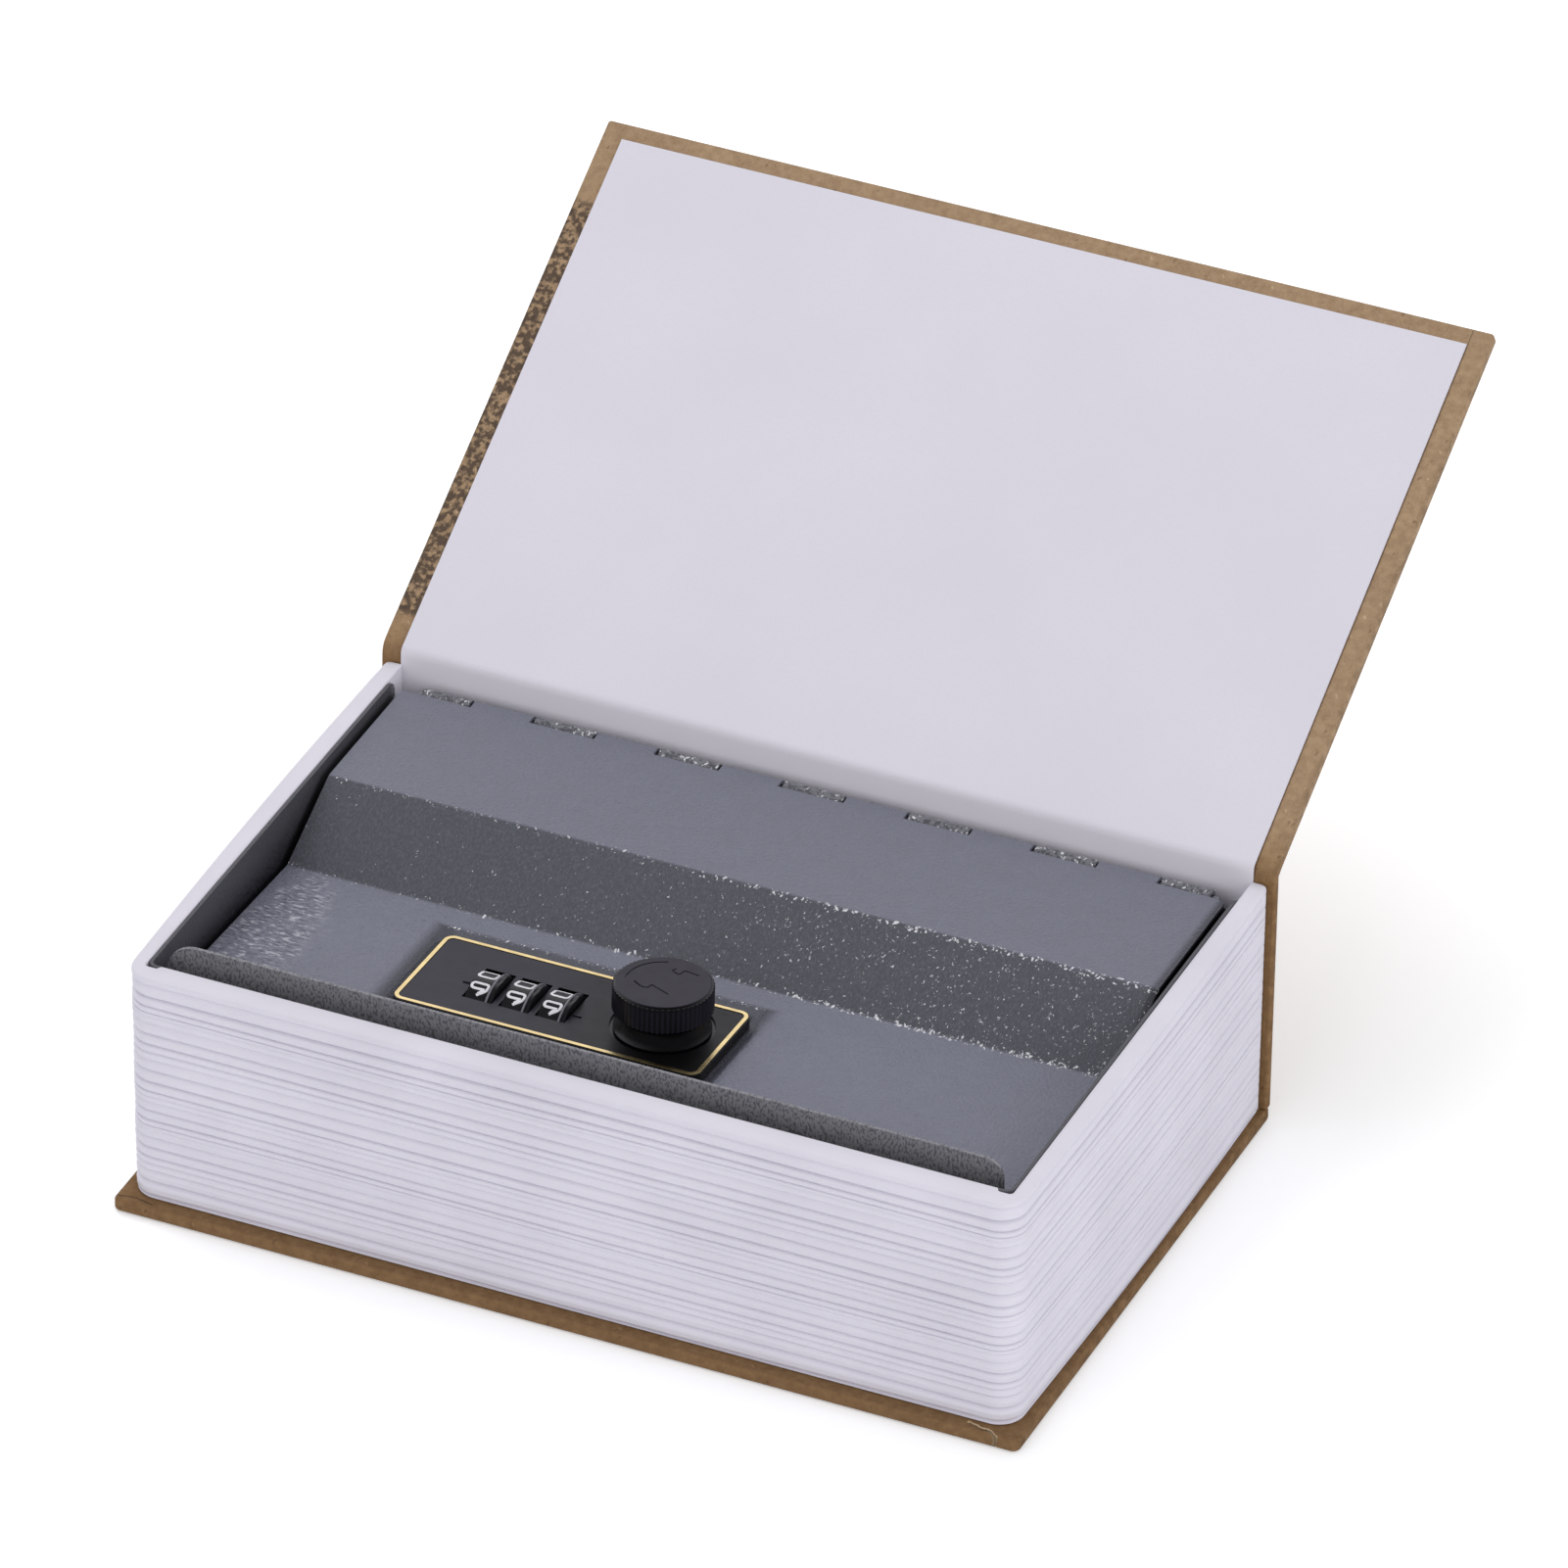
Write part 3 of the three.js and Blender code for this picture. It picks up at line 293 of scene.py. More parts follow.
def buildFleckGroup():  # scattered short marks, turned and stretched
    tree, given, out, place = newGroup("flecks", {"Scale": 900, "Size": 0.3, "Share": 0.2, "Turn": 0,
                                                  "Stretch": 1}, {"Mask": "Float"})
    warp = result(tree, "TexNoise", {"Vector": place, "Scale": given["Scale"] * 0.6}, 1)
    shift = result(tree, "VectorMath", {0: warp, "Scale": 0.0012}, operation="SCALE")
    moved = result(tree, "VectorMath", {0: place, 1: shift}, operation="ADD")
    turned = result(tree, "VectorRotate", {"Vector": moved, "Angle": given["Turn"]}, rotation_type="Z_AXIS")
    drawn = stretchedPlace(tree, turned, given["Stretch"])
    cells = addNode(tree, "TexVoronoi", {"Vector": drawn, "Scale": given["Scale"]}).outputs
    lot = addNode(tree, "SeparateColor", {0: Signal(tree, cells["Color"])}).outputs
    chosen = calc("LESS_THAN", Signal(tree, lot[0]), given["Share"])
    reach = given["Size"] * (Signal(tree, lot[1]) + 0.35)
    connect(chosen * fade(Signal(tree, cells["Distance"]), reach, reach * 0.6), out["Mask"])
    return tree


def buildGrainGroup():  # fine relief, as a normal and as a height
    tree, given, out, place = newGroup(
        "grain", {"Scale": 1500, "Detail": 3, "Strength": 0.3, "Distance": 0.0001, "Twist": 0, "Flatten": 1},
        {"Normal": "Vector", "Height": "Float"})
    drawn = stretchedPlace(tree, place, given["Flatten"])
    noise = result(tree, "TexNoise", {"Vector": drawn, "Scale": given["Scale"], "Detail": given["Detail"],
                                      "Distortion": given["Twist"]})
    bump = result(tree, "Bump", {"Strength": given["Strength"], "Distance": given["Distance"],
                                 "Height": noise})
    connect(bump, out["Normal"])
    connect(noise, out["Height"])
    return tree


def buildEdgeGroup():  # 1 near the ends of a board that is centred on X, fading inwards
    tree, given, out, place = newGroup("edgeWear", {"HalfLength": 0.09, "Reach": 0.002, "Breakup": 300},
                                       {"Mask": "Float"})
    x = result(tree, "SeparateXYZ", {0: place}, "X")
    near = calc("SUBTRACT", 1.0, (given["HalfLength"] - abs(x)) / given["Reach"], clamp=True)
    noise = result(tree, "TexNoise", {"Vector": place, "Scale": given["Breakup"], "Detail": 5})
    connect(near * fade(noise, 0.4, 0.62), out["Mask"])
    return tree


clouds = buildCloudGroup()
flecks = buildFleckGroup()
grain = buildGrainGroup()
edgeWear = buildEdgeGroup()


def cloud(tree, scale, detail, low, high):
    return useGroup(tree, clouds, scale=scale, detail=detail, low=low, high=high)[0]


def fleck(tree, scale, size, share, turn, stretch):
    return useGroup(tree, flecks, scale=scale, size=size, share=share, turn=turn, stretch=stretch)[0]


def relief(tree, scale, detail, distance, **others):  # a normal and a height
    return useGroup(tree, grain, scale=scale, detail=detail, distance=distance, **others)


socketNames = {"base": "Base Color", "roughness": "Roughness", "normal": "Normal",
               "metallic": "Metallic", "specular": "Specular IOR Level", "glow": "Emission Color",
               "glowStrength": "Emission Strength"}


def newMaterial(name):
    material = bpy.data.materials.new(name)
    material.use_nodes = True
    return material, material.node_tree


def feed(material, **values):  # constants and signals, into the material's own shader
    shader = material.node_tree.nodes["Principled BSDF"]
    for label, value in values.items():
        connect(value, shader.inputs[socketNames[label]])
    return material


# Camera, light and floor

view = {"azimuth": 24.454, "elevation": 34.037, "roll": 0.098, "distance": 2.96938,
        "focus": (0.01797, 0.0, 0.0886), "lens": 380.34, "film": 36.0}
# lamps are (place, size, watts); reflections see a room, from its foot up a bright wall and a dim ceiling
studio = {"key": ((-0.9, 0.7, 1.7), 1.3, 11.0), "rightFill": ((1.8, -0.4, 0.8), 1.6, 12.0),
          "frontFill": ((-0.4, -1.9, 0.9), 1.8, 8.0), "ambient": 0.6, "white": (1, 1, 1, 1),
          "room": ((0.0, (0.85, 0.85, 0.87, 1)), (0.62, (0.95, 0.94, 1.0, 1)),
                   (0.86, (0.16, 0.16, 0.17, 1)), (1.0, (0.06, 0.06, 0.065, 1))),
          "brightSide": (-0.76, 0.65, 0),
          "sideLevels": {"From Min": -0.7, "From Max": 0.6, "To Min": 0.12, "To Max": 1.15},
          "floorSize": 14, "floorDrop": 0.0002, "floorColour": (0.93, 0.94, 0.96, 1), "floorGlow": 0.3}


def placeCamera():
    turn = (Matrix.Rotation(math.radians(view["azimuth"]), 4, "Z")
            @ Matrix.Rotation(math.radians(90 - view["elevation"]), 4, "X")
            @ Matrix.Rotation(math.radians(view["roll"]), 4, "Z"))
    bpy.ops.object.camera_add()
    camera = madeAs("studioCamera")
    camera.matrix_world = (Matrix.Translation(view["focus"]) @ turn
                           @ Matrix.Translation((0, 0, view["distance"])))
    camera.data.sensor_width = view["film"]
    camera.data.lens = view["lens"]
    camera.data.clip_end = 20
    scene.camera = camera


def addLamp(name, place, size, watts):
    bpy.ops.object.light_add(type="AREA", location=place)
    lamp = madeAs(name)
    lamp.data.shape = "DISK"
    lamp.data.size = size
    lamp.data.energy = watts
    lamp.rotation_euler = (-Vector(place)).to_track_quat("-Z", "Y").to_euler()
    lamp.visible_glossy = False


def lightScene():
    for name in ("key", "rightFill", "frontFill"):
        addLamp(name + "Lamp", *studio[name])
    world = bpy.data.worlds.new("studioWorld")
    scene.world = world
    world.use_nodes = True
    tree = world.node_tree
    tree.nodes.clear()
    way = result(tree, "TexCoord", output="Generated")
    ramp = addNode(tree, "ValToRGB", {0: result(tree, "SeparateXYZ", {0: way}, "Z")})
    stops = ramp.color_ramp.elements
    for place, roomColour in studio["room"]:
        stop = stops.new(place) if 0 < place < 1 else stops[-1 if place else 0]
        stop.color = roomColour
    side = result(tree, "VectorMath", {0: way, 1: studio["brightSide"]}, "Value", operation="DOT_PRODUCT")
    level = result(tree, "MapRange", {"Value": side, **studio["sideLevels"]})
    base = result(tree, "Background", {"Color": studio["white"], "Strength": studio["ambient"]})
    seen = result(tree, "Background", {"Color": studio["white"], "Strength": 1})
    glossy = result(tree, "Background", {"Color": Signal(tree, ramp.outputs[0]), "Strength": level})
    isGlossy = result(tree, "LightPath", output="Is Glossy Ray")
    isCamera = result(tree, "LightPath", output="Is Camera Ray")
    lit = result(tree, "MixShader", {0: isGlossy, 1: base, 2: glossy})
    addNode(tree, "OutputWorld", {0: result(tree, "MixShader", {0: isCamera, 1: lit, 2: seen})})


def layFloor():
    bpy.ops.mesh.primitive_plane_add(size=studio["floorSize"], location=(0, 0, -studio["floorDrop"]))
    floor = madeAs("studioFloor")
    material, tree = newMaterial("studioFloor")
    # only the camera sees the glow, so shadows stay soft on white
    isCamera = result(tree, "LightPath", output="Is Camera Ray")
    feed(material, base=studio["floorColour"], roughness=0.9, specular=0.1, glow=studio["white"],
         glowStrength=isCamera * studio["floorGlow"])
    paint(floor, material)


placeCamera()
lightScene()
layFloor()
print("studio ready")


# Kraft paper of the case

kraft = {"light": colour(182, 154, 122), "middle": colour(160, 134, 106), "dark": colour(128, 102, 78),
         "fleck": colour(96, 74, 56), "paleFleck": colour(208, 184, 152), "worn": colour(112, 90, 70),
         "ink": colour(58, 48, 46), "shadow": colour(60, 46, 34), "torn": colour(222, 198, 160),
         "baseShadeTint": colour(204, 189, 166), "spineShadeTint": colour(212, 196, 168), "jointTop": 0.0610,
         "jointFoot": 0.0500, "inkEdge": -0.0858, "inkFrom": 0.0632, "inkTo": 0.142, "paperEdge": 0.0858,
         "paperShade": 0.0002, "wobble": 0.0007, "tearShade": 0.0003, "wornHalf": 0.0902,
         "wornReach": 0.0011, "edgeSoft": 0.0003}
# strokes in mm on the back board's margin: a crease at the left corner and a torn turn-in at the right
creases = [((-89.4, -56.0), (-86.2, -55.5)), ((-86.2, -55.5), (-82.6, -56.1))]
tear = [((79.6, -55.3), (82.4, -56.1)), ((82.4, -56.1), (83.6, -56.0)), ((83.6, -56.0), (85.6, -57.3))]


def strokeDistance(x, y, start, end):  # distance in metres from a short straight stroke
    (ax, ay), (bx, by) = ((p * mm for p in spot) for spot in (start, end))
    fromX = x - ax
    fromY = y - ay
    dot = fromX * (bx - ax) + fromY * (by - ay)
    share = calc("DIVIDE", dot, (bx - ax) ** 2 + (by - ay) ** 2, clamp=True)
    return radiusOf(fromX - share * (bx - ax), fromY - share * (by - ay))


def radiusOf(x, y):
    return calc("SQRT", x * x + y * y)


def nearest(x, y, strokes):
    distance = strokeDistance(x, y, *strokes[0])
    for stroke in strokes[1:]:
        distance = calc("MINIMUM", distance, strokeDistance(x, y, *stroke))
    return distance


def makeKraft(name, isBase):
    material, tree = newMaterial(name)
    x, y, z = axes(tree)
    fine = cloud(tree, 640, 6, 0.34, 0.66)
    worn = useGroup(tree, edgeWear, halfLength=kraft["wornHalf"], reach=kraft["wornReach"], breakup=420)[0]
    base = layered(kraft["middle"], kraft,
                   ("light", cloud(tree, 110, 6, 0.3, 0.7), 0.55),
                   ("dark", fine, 0.55),
                   ("light", cloud(tree, 2400, 3, 0.36, 0.64), 0.3),
                   ("fleck", fleck(tree, 1100, 0.3, 0.14, 0.5, 0.5), 0.45),
                   ("paleFleck", fleck(tree, 900, 0.28, 0.12, -0.7, 0.45), 0.4),
                   ("worn", worn, 0.6))
    normal, height = relief(tree, 1100, 5, 0.00014, strength=0.45)
    if isBase:
        # painted shade: the back board's kraft is multiplied darker all over
        base = mixColour(1.0, base, kraft["baseShadeTint"], "MULTIPLY")
        wavyY = y + (height - 0.5) * kraft["wobble"]
        shift = kraft["tearShade"]
        pale = fade(nearest(x, wavyY, tear), 0.00042, 0.0002)
        tearShade = fade(nearest(x - shift, wavyY + shift, tear), 0.0003, 0.00012)
        crease = fade(nearest(x, wavyY, creases), 0.00026, 0.00008)
        # painted shade in the crease and under the torn edge; the torn edge itself is pale fibre
        base = layered(base, kraft, ("torn", pale, 0.7), ("shadow", larger(crease, tearShade), 0.75))
    else:
        # painted shade: the kraft darkens down the joint and the spine
        spineShaded = mixColour(1.0, base, kraft["spineShadeTint"], "MULTIPLY")
        base = mixColour(fade(z, kraft["jointTop"], kraft["jointFoot"]), base, spineShaded)
        # painted shadow of the endpaper's edge on the kraft beside it
        paperEdgeShadow = between(x, kraft["paperEdge"], kraft["paperEdge"] + kraft["paperShade"], 0.0001)
        # an even dark mottling stands where the cover's outside would show on the left turn-in
        inkZone = (fade(x, kraft["inkEdge"] + kraft["edgeSoft"], kraft["inkEdge"] - kraft["edgeSoft"])
                   * between(y, kraft["inkFrom"], kraft["inkTo"], 0.0012))
        base = layered(base, kraft, ("shadow", paperEdgeShadow, 0.6),
                       ("ink", inkZone * cloud(tree, 900, 7, 0.4, 0.54), 0.8))
    return feed(material, base=base, normal=normal, roughness=0.68 + fine * 0.14, specular=0.25)


# White endpaper and the white moulded page block

endpaper = {"light": colour(221, 218, 229), "dark": colour(217, 214, 225), "fibre": colour(213, 210, 221),
            "paintedLightBelowFold": colour(232, 228, 238), "foldTop": 0.0548, "foldFoot": 0.0538}
pages = {"light": colour(224, 221, 232), "dark": colour(216, 213, 224), "leafScale": 1500,
         "leafDepth": 0.00013, "leafLength": (0.004, 0.004, 1)}


def makeWhitePaper():
    material, tree = newMaterial("whitePaper")
    fibre = cloud(tree, 1800, 3, 0.3, 0.7)
    # painted light: the lining below the fold, down the spine, is lifted lighter
    paintedLightBelowFold = fade(axes(tree)[2], endpaper["foldTop"], endpaper["foldFoot"])
    base = layered(endpaper["dark"], endpaper, ("light", cloud(tree, 30, 3, 0.3, 0.7), 1),
                   ("fibre", fibre, 0.35), ("paintedLightBelowFold", paintedLightBelowFold, 1))
    normal = relief(tree, 2200, 2, 0.00006, strength=0.12)[0]
    return feed(material, base=base, normal=normal, roughness=0.7 + fibre * 0.1, specular=0.3)


def makePagePlastic():
    material, tree = newMaterial("pagePlastic")
    soft = cloud(tree, 45, 3, 0.3, 0.7)
    # thin leaves run round the block and fade in and out along it
    drawn = result(tree, "Mapping", {"Vector": objectPlace(tree), "Scale": pages["leafLength"]})
    leaves = result(tree, "TexNoise", {"Vector": drawn, "Scale": pages["leafScale"], "Detail": 3})
    normal = result(tree, "Bump", {"Strength": 0.5, "Distance": pages["leafDepth"], "Height": leaves})
    return feed(material, base=mixColour(soft, pages["dark"], pages["light"]), normal=normal,
                roughness=0.45 + soft * 0.1, specular=0.4)


# Blue-grey enamel of the steel box and lid

# painted light and shade among these: the panel's and the lip's lighter colours, the lip's lighter foot, the
# slope's darker colour, the glints, the shade round the plate and the shade on the walls
enamel = {"flat": colour(112, 114, 128), "panel": colour(118, 120, 135), "slope": colour(78, 80, 87),
          "lip": colour(134, 134, 140), "lipFootLight": colour(184, 184, 190), "pit": colour(60, 60, 67),
          "dark": colour(66, 67, 74), "glint": colour(226, 226, 232), "wall": colour(77, 77, 82),
          "paintedShadeGrey": colour(38, 39, 44), "knuckle": colour(116, 117, 123), "plateShade": colour(64, 65, 73),
          "plateShadeEnd": colour(36, 37, 44)}
# where the colours change, in m: the lid's bends and lip with their painted glints, its glossy patch, the
# painted shade round the face plate and the painted shade on the box's walls
sheet = {"upperBend": 0.0203, "lowerBend": 0.0024, "lipY": -0.0439, "lipTop": 0.0482, "lipFoot": 0.0452,
         "rightEdge": 0.0821, "sheen": (-0.0755, -0.021, 0.0085, 0.025),
         "plateShade": (-0.01575, -0.0185, 0.03325, 0.0149), "plateShadeSquash": 2.2, "plateX": -0.0146,
         "plateEnd": (0.0302, 0.0314), "wallTop": 0.0505, "wallShade": 0.040, "shadeFoot": 0.034,
         "floorTop": 0.022, "knuckleY": 0.0500, "knuckleFoot": 0.0450, "bendSoft": 0.0004,
         "plateShadeFade": (0.0022, -0.0014), "upperGlints": (0.0009, 0.0003), "lowerGlints": (0.0010, 0.0003),
         "glintsFrom": -0.09, "glintsFull": 0.06}


def ellipse(x, y, centreX, centreY, wide, long):  # 0 in the middle, 1 on the outline
    across = (x - centreX) / wide
    along = (y - centreY) / long
    return across * across + along * along


def pastBox(x, y, centreX, centreY, halfX, halfY):  # how far outside a box, across and along
    return abs(x - centreX) - halfX, abs(y - centreY) - halfY


# painted glints: bright flecks standing in for light caught by the hammered paint
def paintedGlints(tree, share, scale, size):
    return larger(fleck(tree, scale, size, share, 0.5, 0.42),
                  fleck(tree, 1.2 * scale, size, share, -0.6, 0.38))


def makeLidEnamel():
    material, tree = newMaterial("lidEnamel")
    x, y, z = axes(tree)
    upperBend, lowerBend, lipY = sheet["upperBend"], sheet["lowerBend"], sheet["lipY"]
    onSlope = between(y, lowerBend, upperBend, sheet["bendSoft"])
    onLip = fade(y, lipY + 0.0002, lipY - 0.0002)
    onPanel = fade(y, lowerBend, lowerBend - 0.001) * (1 - onLip)
    # the flats are a fine orange peel, which turns to glossy ripples near the left end of the panel
    peel = relief(tree, 1500, 4, 0.0003, strength=1.0)[0]
    ripple, rippleHeight = relief(tree, 620, 2, 0.0004, strength=0.9, twist=0.3, flatten=2.6)
    furry, furryHeight = relief(tree, 3400, 3, 0.00016, strength=0.9, flatten=0.4)
    leather, leatherHeight = relief(tree, 2300, 2, 0.0002, strength=1.0, twist=0.3, flatten=0.55)
    reach = ellipse(x, y, *sheet["sheen"]) + cloud(tree, 190, 4, 0.3, 0.7) - 0.5
    rippled = fade(reach, 1.2, 0.2) * onPanel
    normal = mixNormal(rippled, peel, ripple)
    normal = mixNormal(onSlope, normal, furry)
    normal = mixNormal(onLip, normal, leather)
    # painted light: the lower panel takes a slightly lighter colour than the upper flat, though both are one
    # paint
    flat = layered(mixColour(onPanel, enamel["flat"], enamel["panel"]), enamel,
                   ("dark", cloud(tree, 200, 4, 0.3, 0.75), 0.08),
                   ("dark", fleck(tree, 1100, 0.24, 0.12, 0.3, 0.5) * onPanel, 0.35),
                   # painted shade in the ripples' hollows and painted highlights on their crests
                   ("dark", fade(rippleHeight, 0.46, 0.36) * rippled, 0.45),
                   ("glint", fade(rippleHeight, 0.54, 0.66) * rippled, 0.42))
    # painted shade: the slope, turned from the light, is painted darker than the flats; its streaks are
    # texture
    slope = layered(enamel["slope"], enamel, ("flat", fade(furryHeight, 0.4, 0.68), 0.34))
    # painted light: the lip is painted lighter than the flats, and lighter still towards its foot, against
    # the shade on its front; its pits are texture
    lip = layered(enamel["lip"], enamel, ("lipFootLight", fade(z, sheet["lipTop"], sheet["lipFoot"]), 1),
                  ("pit", fade(leatherHeight, 0.5, 0.42), 0.6))
    base = mixColour(onLip, mixColour(onSlope, flat, slope), lip)
    # painted shade lies round the face plate, darker still beyond its ends, and painted shade darkens the
    # sheet near its right edge
    offX, offY = pastBox(x, y, *sheet["plateShade"])
    plateShadeY = sheet["plateShade"][1]
    plateShade = fade(larger(offX, offY * sheet["plateShadeSquash"]), *sheet["plateShadeFade"]) * onPanel
    pastPlate = fade(abs(x - sheet["plateX"]), *sheet["plateEnd"])
    base = mixColour(plateShade * 0.8, base, mixColour(pastPlate, enamel["plateShade"], enamel["plateShadeEnd"]))
    # painted shade near the sheet's right edge
    rightEdgeShade = fade(x, sheet["rightEdge"] - 0.0012, sheet["rightEdge"] + 0.0003)
    # painted glints crowd along both bends, over the right of the slope and behind the plate
    bendNear = larger(fade(abs(y - (upperBend - 0.0003)), *sheet["upperGlints"]),
                      fade(abs(y - (lowerBend + 0.0001)), *sheet["lowerGlints"]))
    rightward = fade(x, sheet["glintsFrom"], sheet["glintsFull"])
    crowd = rightward * rightward
    behindPlate = between(offY, -0.0006, 0.0003, 0.0003) * fade(y, plateShadeY, plateShadeY + 0.002)
    rimShare = behindPlate * fade(offX, 0.0, -0.002) * 0.45
    bendShare = larger(bendNear * (crowd * 0.85 + 0.03), rimShare)
    fineShare = larger(onSlope * (crowd * 0.24 + 0.02), larger(rimShare, bendNear * 0.4))
    marks = larger(paintedGlints(tree, bendShare, 1500, 0.36), paintedGlints(tree, fineShare, 2700, 0.25))
    base = layered(base, enamel, ("paintedShadeGrey", rightEdgeShade, 0.7), ("glint", marks, 0.9))
    return feed(material, base=base, normal=normal,
                roughness=0.34 + larger(onSlope, onLip) * 0.16 - rippled * 0.1)


def makeBoxEnamel():  # painted shade in a band down the side walls, and hammered knuckles at the back with painted glints
    material, tree = newMaterial("boxEnamel")
    y, z = axes(tree)[1:]
    normal, height = relief(tree, 1500, 3, 0.0002, strength=0.8, twist=0.5)
    spotted = fade(height, 0.44, 0.6)
    wall = layered(enamel["paintedShadeGrey"], enamel, ("wall", fade(z, sheet["wallShade"], sheet["wallTop"]), 1),
                   ("wall", fade(z, sheet["shadeFoot"], sheet["floorTop"]), 1), ("flat", spotted, 0.12))
    knuckle = layered(enamel["knuckle"], enamel, ("dark", spotted, 0.8),
                      ("glint", paintedGlints(tree, 0.5, 1700, 0.36), 0.85))
    onKnuckle = (fade(y, sheet["knuckleY"], sheet["knuckleY"] + 0.0004)
                 * fade(z, sheet["knuckleFoot"], sheet["knuckleFoot"] + 0.0012))
    return feed(material, base=mixColour(onKnuckle, wall, knuckle), normal=normal,
                roughness=0.4 + spotted * 0.12)


# Plastics and metals

lockTilt = 3.4  # degrees by which the face plate falls to the front
plastic = {"mottle": (400, 4, 0.4, 0.7), "towards": 1.35, "grain": (1600, 2, 0.00008), "dulled": 0.08,
           "metallic": 0}
metal = {"mottle": (500, 4, 0.35, 0.65), "towards": 0.8, "grain": (900, 3, 0.0001), "dulled": 0.1,
         "metallic": 1}
knobLook = {"top": colour(28, 25, 36), "side": colour(8, 8, 10), "level": 0.05207, "roughness": 0.4,
            "ribs": (0.0031, -0.0226045, 0.0093)}
plateLook = {"top": colour(34, 32, 44), "side": colour(10, 10, 12), "level": 0.04277, "roughness": 0.36,
             "reflectionFadeFrom": -0.026, "reflectionFadeTo": -0.002, "rim": (-0.0146, -0.021, 0.0304, 0.0121)}


def makeEven(name, kind, shadeColour, roughness, strength=0.1):
    material, tree = newMaterial(name)
    mottle = cloud(tree, *kind["mottle"])
    normal = relief(tree, *kind["grain"], strength=strength)[0]
    base = mixColour(mottle * 0.3, shadeColour, scaled(shadeColour, kind["towards"]))
    return feed(material, base=base, normal=normal, roughness=roughness + mottle * kind["dulled"],
                metallic=kind["metallic"])


def makeTopLit(name, look):  # its top, at a level along the lock's axis, is painted lighter than its sides, a painted reflection on one black plastic
    material, tree = newMaterial(name)
    x, y, z = axes(tree)
    tilt = math.radians(lockTilt)
    top, side, level = look["top"], look["side"], look["level"]
    height = y * math.sin(tilt) + z * math.cos(tilt)
    isTop = fade(height, level - 0.00014, level - 0.00006)
    dust = cloud(tree, 420, 5, 0.35, 0.7)
    upper = mixColour(dust * 0.5, top, scaled(top, 1.25))
    if "reflectionFadeFrom" in look:
        # painted shade: the top darkens towards the knob, where less reflection reaches it
        upper = mixColour(fade(x, look["reflectionFadeFrom"], look["reflectionFadeTo"]), upper, side)
    if "rim" in look:  # outside the gold line
        past = larger(*pastBox(x, y, *look["rim"]))
        upper = mixColour(fade(past, 0, 0.0001), upper, side)
    if "ribs" in look:  # painted highlights on the tips of the knurls
        middleX, middleY, tip = look["ribs"]
        radius = radiusOf(x - middleX, y - (z * math.tan(tilt) + middleY))
        lit = fade(radius, tip - 0.00025, tip) * fade(height, level - 0.0007, level - 0.0009)
        side = mixColour(lit, side, top)
    normal = relief(tree, 2000, 2, 0.00006, strength=0.12)[0]
    return feed(material, base=mixColour(isTop, side, upper), normal=normal, specular=0.38,
                roughness=look["roughness"] - 0.12 + isTop * 0.12 + dust * 0.06)


materials = {
    "kraft_paper": makeKraft("kraftPaper", False),
    "white_paper": makeWhitePaper(),
    "page_plastic": makePagePlastic(),
    "hammered_paint": makeLidEnamel(),
    "bare_steel": makeEven("zincSteel", metal, colour(178, 180, 184), 0.3),
    "black_plastic": makeEven("blackMoulding", plastic, colour(34, 33, 38), 0.38),
    "gold_foil": makeEven("goldTrim", metal, colour(250, 226, 166), 0.24),
    "brass": makeEven("springBrass", metal, colour(200, 165, 95), 0.25),
}
baseKraft = makeKraft("kraftBase", True)
boxPaint = makeBoxEnamel()
knobPlastic = makeTopLit("knobBlack", knobLook)
platePlastic = makeTopLit("plateBlack", plateLook)
wheelPlastic = makeEven("wheelBlack", plastic, colour(20, 20, 24), 0.32, 0.08)
beadGrey = makeEven("beadGrey", plastic, colour(118, 118, 126), 0.25, 0.05)
digitPaint = makeEven("digitWhite", plastic, colour(226, 226, 232), 0.45)
print("materials ready")


# Case: the wrapped boards, the joint and the endpaper

case = {"half": 89.98, "boardThickness": 2.6, "spineThickness": 2.1, "cornerRadius": 1.4, "edgeRound": 0.6,
        "wrapRound": 0.45, "foreEdge": -57.38, "back": 57.4, "pivot": (57.8, 54.6987), "openAngle": 30,
        "coverReach": 115.03, "coverCorner": 0.6, "spineFoot": (55.3, 4.1), "spineTop": (57.1, 52.3987),
        "paperHalf": 85.8, "paperReach": 111.5, "paperGap": 0.1, "paperThickness": 0.3}


def onCover(along, out=0.0):  # from the frame of the open cover to Y and Z
    angle = math.radians(case["openAngle"])
    return (case["pivot"][0] + along * math.cos(angle) - out * math.sin(angle),
            case["pivot"][1] + along * math.sin(angle) + out * math.cos(angle))


def onSpine(height, out=0.0):  # the spine's inner face at a height, out towards the fore edge
    (footY, footZ), (topY, topZ) = case["spineFoot"], case["spineTop"]
    return footY + (height - footZ) * (topY - footY) / (topZ - footZ) - out, height


def roundBoardCorners(board, radius, isCorner):
    editWhere(board, "EDGE", isCorner)
    bpy.ops.mesh.bevel(offset=radius * mm, segments=5, affect="EDGES")
    doneEditing()


def thicken(piece, thickness, offset):
    applyModifier(piece, "SOLIDIFY", thickness=thickness * mm, offset=offset, use_even_offset=True)


def buildBackBoard():
    half, front, back = case["half"], case["foreEdge"], case["back"]
    thickness = case["boardThickness"]
    bpy.ops.mesh.primitive_cube_add(size=1, location=(0, (front + back) / 2 * mm, thickness / 2 * mm))
    board = madeAs("backBoard")
    board.scale = (2 * half * mm, (back - front) * mm, thickness * mm)
    settle(board)
    roundBoardCorners(board, case["cornerRadius"], lambda a, b: abs(a.z - b.z) > thickness / 2)
    roundEdges(board, case["edgeRound"], 3, 50)
    finishPiece(board, baseKraft, "case")
    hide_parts("back_cover_board")


